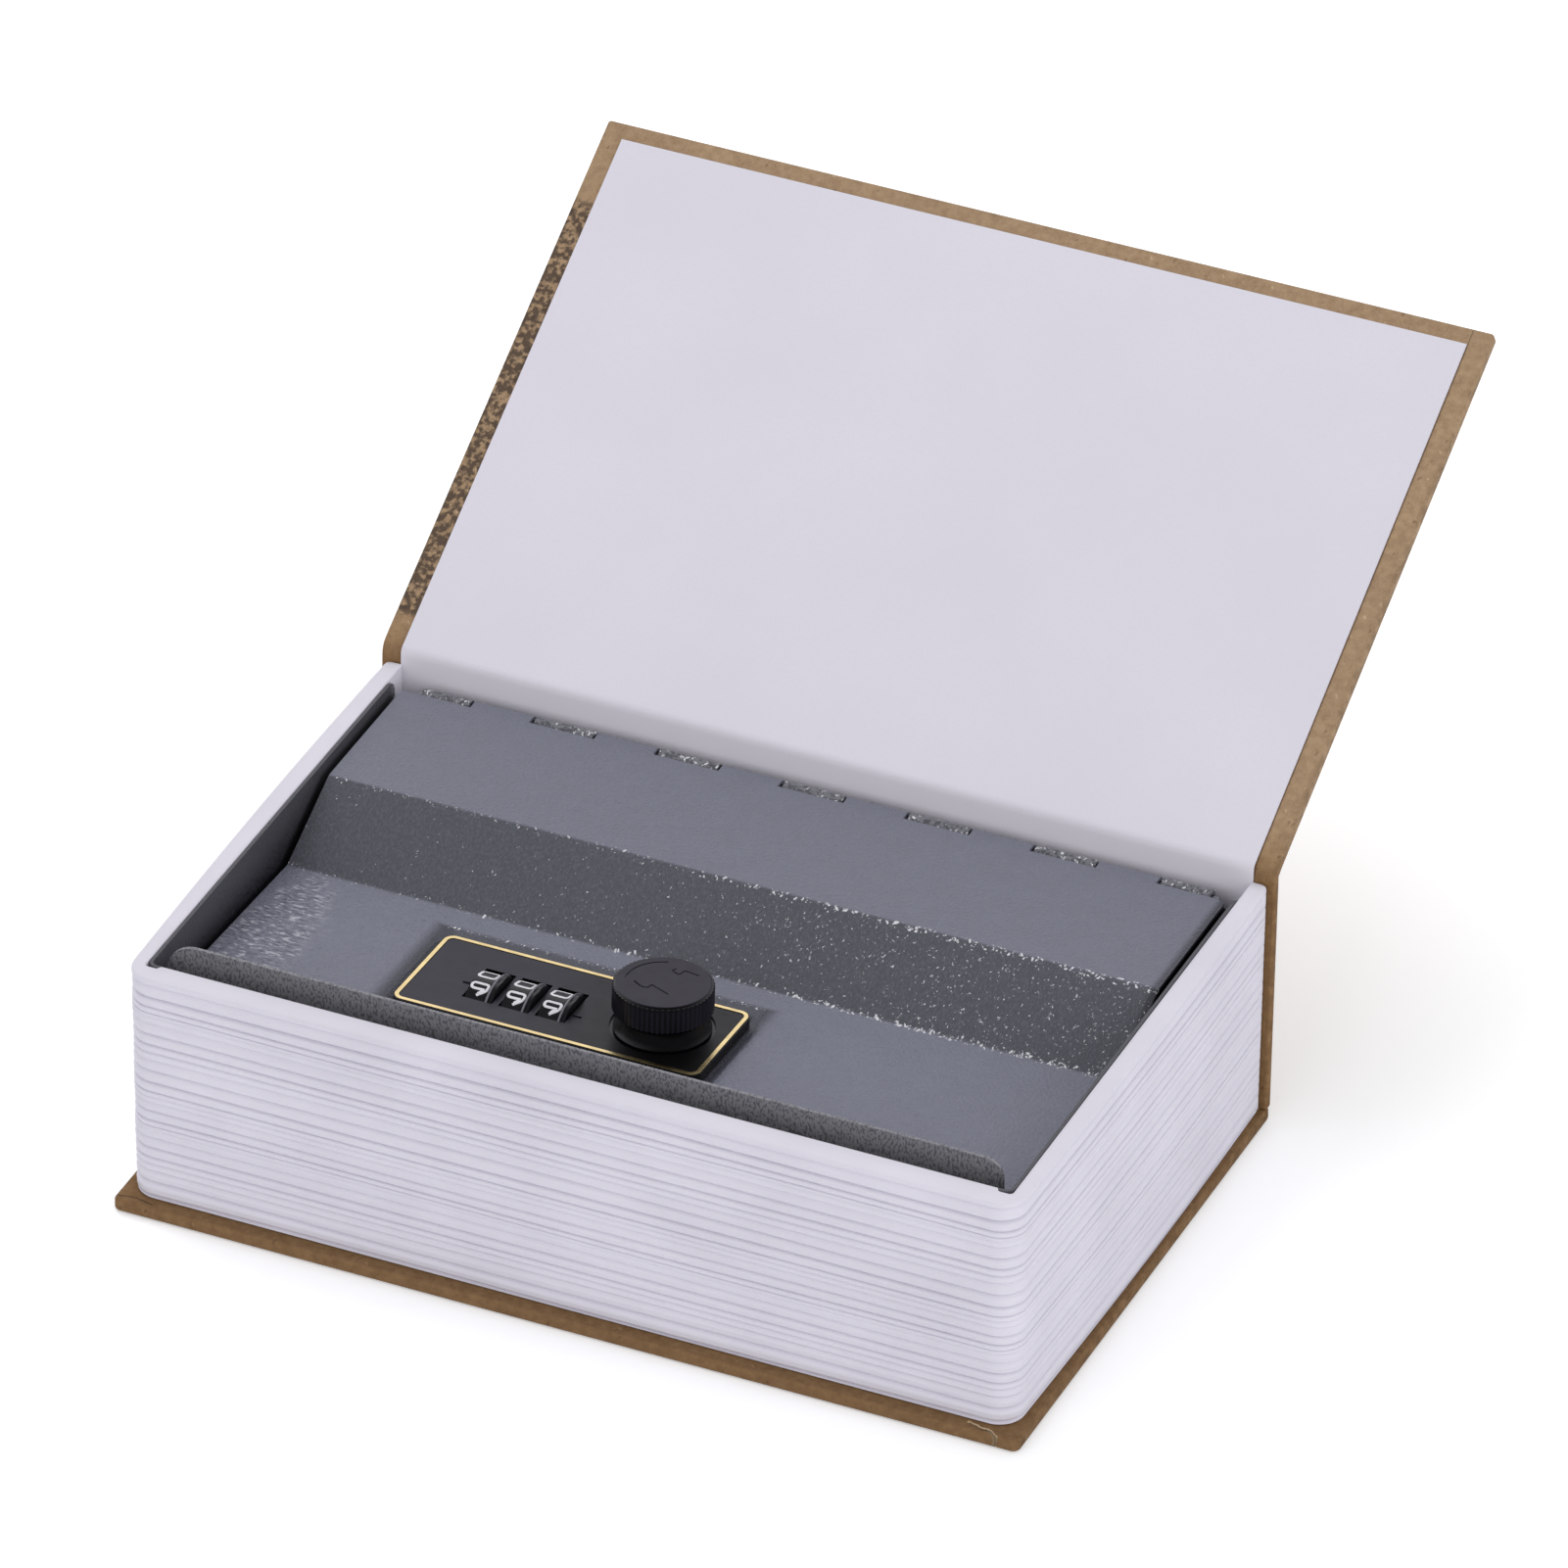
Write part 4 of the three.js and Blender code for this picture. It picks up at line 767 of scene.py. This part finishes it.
def buildWrap():  # spine, joint and front cover in one sheet of kraft, which bends at the joint
    topZ = case["spineTop"][1]
    path = [onSpine(height) for height in (case["boardThickness"] + 0.04, 30, topZ - 1, topZ)]
    path += [(57.2, 53.0), (57.5, 53.85), (57.95, 54.6), (58.7, 55.17)]
    path += [onCover(along) for along in (2.6, 6, 60, case["coverReach"])]
    wrap = sweepSheet("kraftWrap", path, case["half"])
    thicken(wrap, case["boardThickness"], -1)
    middle = case["spineThickness"] / 2
    editWhere(wrap, "VERT", lambda p: p.z < topZ + 0.2 and p.y > onSpine(p.z)[0] + middle)
    thinner = (case["spineThickness"] - case["boardThickness"]) * mm
    bpy.ops.transform.translate(value=(0, thinner, 0))
    doneEditing()
    farY = onCover(case["coverReach"] - 1)[0]
    roundBoardCorners(wrap, case["coverCorner"],
                      lambda a, b: min(a.y, b.y) > farY and abs(a.x - b.x) < 0.01)
    roundEdges(wrap, case["wrapRound"], 3, 50)
    finishPiece(wrap, materials["kraft_paper"])
    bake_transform(wrap)
    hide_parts("spine_board", "front_joint_strip", "front_cover_board")


def buildEndpaper():
    gap = case["paperGap"]
    topZ = case["spineTop"][1]
    path = [onSpine(height, gap) for height in (4.7, 20, 40, topZ - 1.5, topZ, 53.2)]
    path += [(57.08, 54.0), (57.36, 54.5)]
    path += [onCover(along, gap) for along in (0.2, 1, 2.2, 5, 12, 60, case["paperReach"])]
    paper = sweepSheet("endpaper", path, case["paperHalf"])
    thicken(paper, case["paperThickness"], 1)
    finishPiece(paper, materials["white_paper"], smooth=50)
    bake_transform(paper)
    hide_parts("spine_lining", "endpaper_joint", "cover_pastedown")


buildBackBoard()
buildWrap()
buildEndpaper()
print("case ready")


# Page block: a wall round three sides whose outer face swells leaf by leaf

block = {"half": 88.2, "front": -54.8, "corner": 5.2, "bow": 1.0, "innerHalf": 85.5,
         "innerFront": -49.95, "backFoot": 54.85, "backLean": 0.0373, "foot": 2.6, "height": 48.8,
         "topRound": 0.5, "footRound": 0.55, "backRound": 0.8, "firstLine": 4.3, "lastLine": 3.2,
         "pitch": 1.78, "pitchWaves": ((0.75, 1.37, 2), (0.35, 0.44, 4.6)), "bumpDepth": 0.34,
         "bumpGain": 0.3, "leafShift": 0.05, "leafWave": 0.055, "wander": 0.16, "notchDepth": 0.9,
         "rowsPerLeaf": 10}


def leafLines():  # heights of the page lines, from the foot up
    heights = []
    below = block["firstLine"]
    line = 0
    while below < block["height"] - block["lastLine"]:
        heights.insert(0, block["height"] - below)
        below += block["pitch"] + sum(size * math.sin(rate * line + start)
                                      for size, rate, start in block["pitchWaves"])
        line += 1
    return [block["footRound"]] + heights + [block["height"] - 1.3]


def leafRows():  # height and inset of each row of the outer face
    rows = []
    lines = leafLines()
    for i, (low, high) in enumerate(zip(lines, lines[1:])):
        depth = block["bumpDepth"] + block["bumpGain"] * (high - low - 1.2)
        for step in range(block["rowsPerLeaf"]):
            share = step / block["rowsPerLeaf"]
            side = abs(2 * share - 1)
            waves = 3 if high - low > 1.7 else 2
            inset = depth * side ** 4 + block["leafShift"] * (1 + math.sin(7.1 * i))
            inset += block["leafWave"] * math.sin(2 * math.pi * waves * share) * (1 - side)
            rows.append((low + (high - low) * share, inset))
    return rows


def planStations():  # share of the side, angle of the corner or place on the front, from the left end round
    sides = [1, 0.9985, 0.996, 0.992, 0.987, 0.98, 0.97] + [0.95 - 0.95 * i / 17 for i in range(17)]
    corner = [("corner", 90 * i / 12) for i in range(13)]
    front = [("front", -1 + 2 * i / 40) for i in range(1, 40)]
    left = [("side", share) for share in sides] + corner
    return ([(-1, *spot) for spot in left] + [(0, *spot) for spot in front]
            + [(1, *spot) for spot in reversed(left)])


def planPoint(station, height):  # outer point, inner point and how strongly the leaves stand out there
    side, kind, value = station
    radius = block["corner"]
    front = block["front"] + radius
    innerFront = block["innerFront"]
    half = block["half"] - radius
    if kind == "front":
        return Vector((value * half, block["front"])), Vector((value * (half - 0.6), innerFront)), 1
    if kind == "corner":
        angle = math.radians(value)
        outer = Vector((side * (half + radius * math.cos(angle)), front - radius * math.sin(angle)))
        share = value / 90
        deep = innerFront - block["notchDepth"]
        stops = [(0, block["innerHalf"], front), (0.3, block["innerHalf"], deep + 0.4),
                 (0.42, block["innerHalf"] - 0.5, deep), (0.8, block["innerHalf"] - 2.6, deep),
                 (1, block["innerHalf"] - 3.1, innerFront)]
        for (s0, x0, y0), (s1, x1, y1) in zip(stops, stops[1:]):
            if share <= s1:
                part = (share - s0) / (s1 - s0)
                return outer, Vector((side * (x0 + (x1 - x0) * part), y0 + (y1 - y0) * part)), 1
    back = block["backFoot"] + (height - 4.1) * block["backLean"]
    y = front + (back - front) * value
    left = back - y
    turn = block["backRound"]
    inward = turn - math.sqrt(max(0, turn ** 2 - (turn - left) ** 2)) if left < turn else 0
    x = block["half"] + block["bow"] * math.sin(0.8 * math.pi * value) - 0.85 * inward
    strength = min(1.35, max(0, (left - 0.3) / 1.2))
    return Vector((side * x, y)), Vector((side * block["innerHalf"], y)), strength


def buildPageBlock():
    stations = planStations()
    top = block["height"]
    turn = block["topRound"]
    profile = [(0, block["footRound"], False), (0.27, 0.27, False)]
    profile += [(height, inset, True) for height, inset in leafRows()]
    profile += [(top - 1.3, 0.12, True), (top - 1.2, 0.02, True), (top - 0.8, 0, False),
                (top - turn, 0, False), (top - 0.3 * turn, 0.3 * turn, False), (top, turn, False)]
    inner = [(top, 0.4), (top - 0.12, 0.12), (top - 0.4, 0), (top - 20, 0), (0, 0)]
    count = len(profile) + len(inner)
    bpy.ops.mesh.primitive_grid_add(x_subdivisions=len(stations) - 1, y_subdivisions=count - 1, size=1)
    piece = madeAs("pageBlock")
    for vertex in piece.data.vertices:
        column = round((vertex.co.x + 0.5) * (len(stations) - 1))
        row = round((vertex.co.y + 0.5) * (count - 1))
        isOuter = row < len(profile)
        height, inset, leafy = profile[row] if isOuter else (*inner[row - len(profile)], False)
        z = block["foot"] + height
        outer, inside, strength = planPoint(stations[column], z)
        step = (inside - outer).normalized() * inset
        spot = outer + step * (strength if leafy else 1) if isOuter else inside - step
        if leafy:  # the lines wander a little along the block
            z += (block["wander"] * math.sin(0.045 * spot.x + 0.6 * height)
                  * math.sin(0.06 * spot.y + 1 + 0.23 * height))
        vertex.co = (spot.x * mm, spot.y * mm, z * mm)
    startEditing(piece)
    bpy.ops.mesh.normals_make_consistent(inside=False)
    doneEditing()
    closeLoops(piece)
    finishPiece(piece, materials["page_plastic"], "case", 70, False)
    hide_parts("page_tray")


def closeLoops(piece):  # bridges the sheet's first and last rows, then caps the two back ends
    startEditing(piece, "DESELECT")
    bpy.ops.mesh.select_mode(type="EDGE")
    doneEditing()
    foot = block["foot"] + 0.001
    uses = {}
    for face in piece.data.polygons:
        for key in face.edge_keys:
            uses[key] = uses.get(key, 0) + 1
    for edge in piece.data.edges:
        low = all(piece.data.vertices[i].co.z < foot * mm for i in edge.vertices)
        edge.select = low and uses[edge.key] == 1
    bpy.ops.object.mode_set(mode="EDIT")
    bpy.ops.mesh.bridge_edge_loops()
    bpy.ops.mesh.select_all(action="SELECT")
    bpy.ops.mesh.fill_holes(sides=0)
    bpy.ops.mesh.select_all(action="SELECT")
    bpy.ops.mesh.normals_make_consistent(inside=False)
    doneEditing()


buildPageBlock()
print("page block ready")


# CAD nodes with softened edges

def softCopy(node, name, width, segments=2, limit=28, material=None, smooth=35):
    source = frame["nodes"][node]
    piece = bpy.data.objects.new(name, source.data.copy())
    scene.collection.objects.link(piece)
    startEditing(piece)
    bpy.ops.mesh.remove_doubles(threshold=0.001 * mm)
    bpy.ops.mesh.dissolve_limited(angle_limit=math.radians(0.5))
    doneEditing()
    if width:
        roundEdges(piece, width, segments, limit)
    slot = slotOf[node]
    finishPiece(piece, material or materials[slot], bodyOf[node], smooth)
    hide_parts(node)
    return piece


softened = {
    "lid": ("lidShell", 0.15, 2, 28),
    "steel_box": ("boxShell", 0.12, 2, 40, boxPaint),
    "lock_plate": ("facePlate", 0.14, 3, 28, platePlastic),
    "gold_trim": ("goldFrame", 0.08, 2, 40),
    "number_wheel_1": ("wheelOne", 0.05, 2, 28, wheelPlastic),
    "number_wheel_2": ("wheelTwo", 0.05, 2, 28, wheelPlastic),
    "number_wheel_3": ("wheelThree", 0.05, 2, 28, wheelPlastic),
    "lock_housing": ("lockHousing", 0.1, 2, 40),
    "latch_cam": ("latchCam", 0.12, 2, 40),
    "cam_nut": ("camNut", 0.12, 2, 40),
    "reset_slide": ("resetSlide", 0.1, 2, 40),
}
for node, details in softened.items():
    softCopy(node, *details)


# Lid: the slope of the recess round the face plate, and the right-hand edge, in mm

# the lock's measures stand here because the recess lies round it
lock = {"origin": (-14.6, -21.0, 42.1902), "knob": (17.7, 0.9), "knobTop": 11.2, "markDepth": 0.16,
        "arcRadius": 7.0, "wheels": (-16.05, -8.8, -1.55), "wheelAxis": (-0.8, -3.75), "drumRadius": 7.1,
        "digitHalf": (1.6, 1.06), "digitStroke": 0.55, "digitRound": 0.62, "digitX": -0.7,
        "ringDigits": (0, 8), "zeroAngle": 76, "digits": 10, "paintRise": 0.02, "paintFlat": 0.3,
        "beadX": 1.65, "beadRadius": 7.42, "beadHalf": 0.22, "dashX": 4.1, "dashZ": 1.98,
        "dashSize": (1.7, 0.45, 0.3)}
lockPlace = (Matrix.Translation(Vector(lock["origin"]) * mm)
             @ Matrix.Rotation(math.radians(-lockTilt), 4, "X"))
lip = {"y": -43.9, "foot": 45.5, "shift": -0.9, "oldRadius": 5.8, "radius": 3.7, "edge": 82.2,
       "backOut": 0.7, "frontOut": 0.3}
press = {"halfX": 32.6, "halfY": 14.3, "corner": 4.2, "depth": 0.5, "slope": 1.2}


def softenPress():  # the wall of the recess becomes a shallow slope
    lid = bpy.data.objects["lidShell"]
    intoLock = lockPlace.inverted()
    for vertex in lid.data.vertices:
        spot = intoLock @ vertex.co / mm
        if not -press["depth"] - 0.05 < spot.z < -0.03:
            continue
        coreX = press["halfX"] - press["corner"]
        coreY = press["halfY"] - press["corner"]
        core = Vector((max(-coreX, min(coreX, spot.x)), max(-coreY, min(coreY, spot.y)), spot.z))
        out = spot - core
        if abs(out.length - press["corner"]) > 0.3:
            continue
        share = min(1, -spot.z / press["depth"])
        spot -= out.normalized() * press["slope"] * share * share * (3 - 2 * share)
        vertex.co = lockPlace @ (spot * mm)
    shade(lid, 35)


def trimLid():  # the sheet reaches nearer to the right wall, and the lip's right corner is tighter
    lid = bpy.data.objects["lidShell"]
    topZ = max(vertex.co.z for vertex in lid.data.vertices if vertex.co.y < lip["y"] * mm) / mm
    for vertex in lid.data.vertices:
        x, y, z = vertex.co / mm
        if y < lip["y"] and z > lip["foot"]:
            centre = lip["edge"] - lip["oldRadius"]
            if x > centre:
                low = topZ - lip["oldRadius"]
                ratio = lip["radius"] / lip["oldRadius"]
                x = lip["edge"] - lip["radius"] + (x - centre) * ratio
                if z > low:
                    z = topZ - lip["radius"] + (z - low) * ratio
            if abs(x) > 70:
                x += lip["shift"]
        elif x > lip["edge"] - 0.3:
            x += lip["backOut"] if y > 2 else lip["frontOut"]
        vertex.co = (x * mm, y * mm, z * mm)


trimLid()
softenPress()
print("softened pieces ready")


# Lock: the knob's turning marks, the painted numbers and the index dashes, in mm on the face plate

def softCorners(points, radius, closed):
    points = [Vector(point) for point in points]
    count = len(points)
    line = []
    for i, point in enumerate(points):
        if not closed and i in (0, count - 1):
            line.append(point)
            continue
        before = points[i - 1] - point
        after = points[(i + 1) % count] - point
        start = point + before.normalized() * min(radius, before.length / 2)
        end = point + after.normalized() * min(radius, after.length / 2)
        for step in range(5):
            share = step / 4
            line.append(start * (1 - share) ** 2 + point * 2 * share * (1 - share) + end * share ** 2)
    return line


def drawStrokes(name, lines, width):  # round strokes on the XY plane, as a mesh
    curve = bpy.data.curves.new(name, "CURVE")
    curve.dimensions = "3D"
    curve.bevel_depth = width / 2 * mm
    curve.bevel_resolution = 2
    curve.use_fill_caps = True
    for points, closed in lines:
        spline = curve.splines.new("POLY")
        spline.points.add(len(points) - 1)
        for spot, point in zip(spline.points, points):
            spot.co = (point[0] * mm, point[1] * mm, 0, 1)
        spline.use_cyclic_u = closed
    drawn = bpy.data.objects.new(name, curve)
    scene.collection.objects.link(drawn)
    selectOnly(drawn)
    bpy.ops.object.convert(target="MESH")
    return bpy.context.object


def digitLines(digit):
    box = [(-1, -1), (1, -1), (1, 1), (-1, 1)]
    shapes = [  # strokes, in halves of the digit's width and height
        [[(1.05 * x, 1.3 * y) for x, y in box]],
        [[(-0.6, 0.6), (0.1, 1), (0.1, -1)]],
        [[(-1, 0.7), (-1, 1), (1, 1), (1, 0), (-1, -0.3), (-1, -1), (1, -1)]],
        [[(-1, 1), (1, 1), (1, -1), (-1, -1)], [(-0.3, 0), (1, 0)]],
        [[(-0.5, 1), (-1, -0.3), (1, -0.3)], [(0.4, 0.5), (0.4, -1)]],
        [[(1, 1), (-1, 1), (-1, 0.1), (1, 0.1), (1, -1), (-1, -1)]],
        [[(0.5, 1), (-1, 1), (-1, -1), (1, -1), (1, 0), (-1, 0)]],
        [[(-1, 1), (1, 1), (-0.2, -1)]],
        [box, [(-1, 0), (1, 0)]],
        [[(0.7, -0.25), (-1, -0.25), (-1, 1), (1, 1), (1, -0.4), (0, -1.55)], [(0.6, -0.35), (0.1, -1.2)]],
    ]
    halfX, halfY = lock["digitHalf"]
    lines = []
    for place, stroke in enumerate(shapes[digit]):
        closed = digit in lock["ringDigits"] and place == 0
        points = [(halfX * x, halfY * y) for x, y in stroke]
        lines.append((softCorners(points, lock["digitRound"], closed), closed))
    return lines


def paintNumbers(index, wheelX):
    radius = lock["drumRadius"]
    pitch = radius * 2 * math.pi / lock["digits"]
    lines = [([(x, y + digit * pitch) for x, y in points], closed)
             for digit in range(lock["digits"]) for points, closed in digitLines(digit)]
    numbers = drawStrokes(f"numbers{index + 1}", lines, lock["digitStroke"])
    axisY, axisZ = lock["wheelAxis"]
    start = math.radians(lock["zeroAngle"])
    for vertex in numbers.data.vertices:  # the flat row of digits is rolled round the drum
        across, along, out = vertex.co / mm
        angle = start - along / radius
        reach = radius + lock["paintRise"] + lock["paintFlat"] * out
        spot = (wheelX + lock["digitX"] + across, axisY + reach * math.cos(angle),
                axisZ + reach * math.sin(angle))
        vertex.co = lockPlace @ (Vector(spot) * mm)
    finishPiece(numbers, digitPaint, f"wheel_{index + 1}", 60, False)


def setOnLock(piece, spot):  # from the origin to a spot in the face plate's frame
    piece.matrix_world = lockPlace @ Matrix.Translation(Vector(spot) * mm)
    settle(piece)


def markKnob():
    knob = softCopy("knob", "knobBody", 0, material=knobPlastic, smooth=30)
    arc = [Vector((math.cos(angle), math.sin(angle))) * lock["arcRadius"]
           for angle in map(math.radians, range(108, 196, 6))]
    strokes = [[(0.1, 5.3), (-0.3, 4.3), (1.4, 3.6), (1.8, 5.3), (4.8, 4.9)],
               [(-5.0, -1.9), (-3.0, -3.1), (-1.7, -2.9), (-1.6, -1.7), (2.5, -3.4)]]
    marks = [(arc, False)] + [(softCorners(stroke, 0.3, False), False) for stroke in strokes]
    cutter = drawStrokes("knobMarks", marks, 2 * lock["markDepth"])
    setOnLock(cutter, (*lock["knob"], lock["knobTop"]))
    applyModifier(knob, "BOOLEAN", operation="DIFFERENCE", object=cutter, solver="EXACT")
    bpy.data.objects.remove(cutter)
    shade(knob, 30)


def addRimHighlight(index, wheelX):  # a grey ring beside each drum, a painted highlight standing in for the light on the wheel's rim edge
    bpy.ops.mesh.primitive_torus_add(major_radius=lock["beadRadius"] * mm, major_segments=96,
                                     minor_radius=lock["beadHalf"] * mm, minor_segments=8,
                                     rotation=(0, math.pi / 2, 0))
    bead = madeAs(f"rimHighlight{index + 1}")
    settle(bead)
    setOnLock(bead, (wheelX + lock["beadX"], *lock["wheelAxis"]))
    finishPiece(bead, beadGrey, f"wheel_{index + 1}", 60, False)


def addDash(name, x, y):
    bpy.ops.mesh.primitive_cube_add(size=1)
    dash = madeAs(name)
    dash.scale = Vector(lock["dashSize"]) * mm
    settle(dash)
    roundEdges(dash, 0.1, 2, 40)
    setOnLock(dash, (x, y, lock["dashZ"]))
    finishPiece(dash, knobPlastic, "lid")


markKnob()
for index, wheelX in enumerate(lock["wheels"]):
    paintNumbers(index, wheelX)
    addRimHighlight(index, wheelX)
addDash("leftIndexDash", lock["wheels"][0] - lock["dashX"], -1.4)
addDash("rightIndexDash", lock["wheels"][2] + lock["dashX"], -3.0)
print("lock ready")

for node, piece in frame["nodes"].items():
    paint(piece, materials[slotOf[node]])
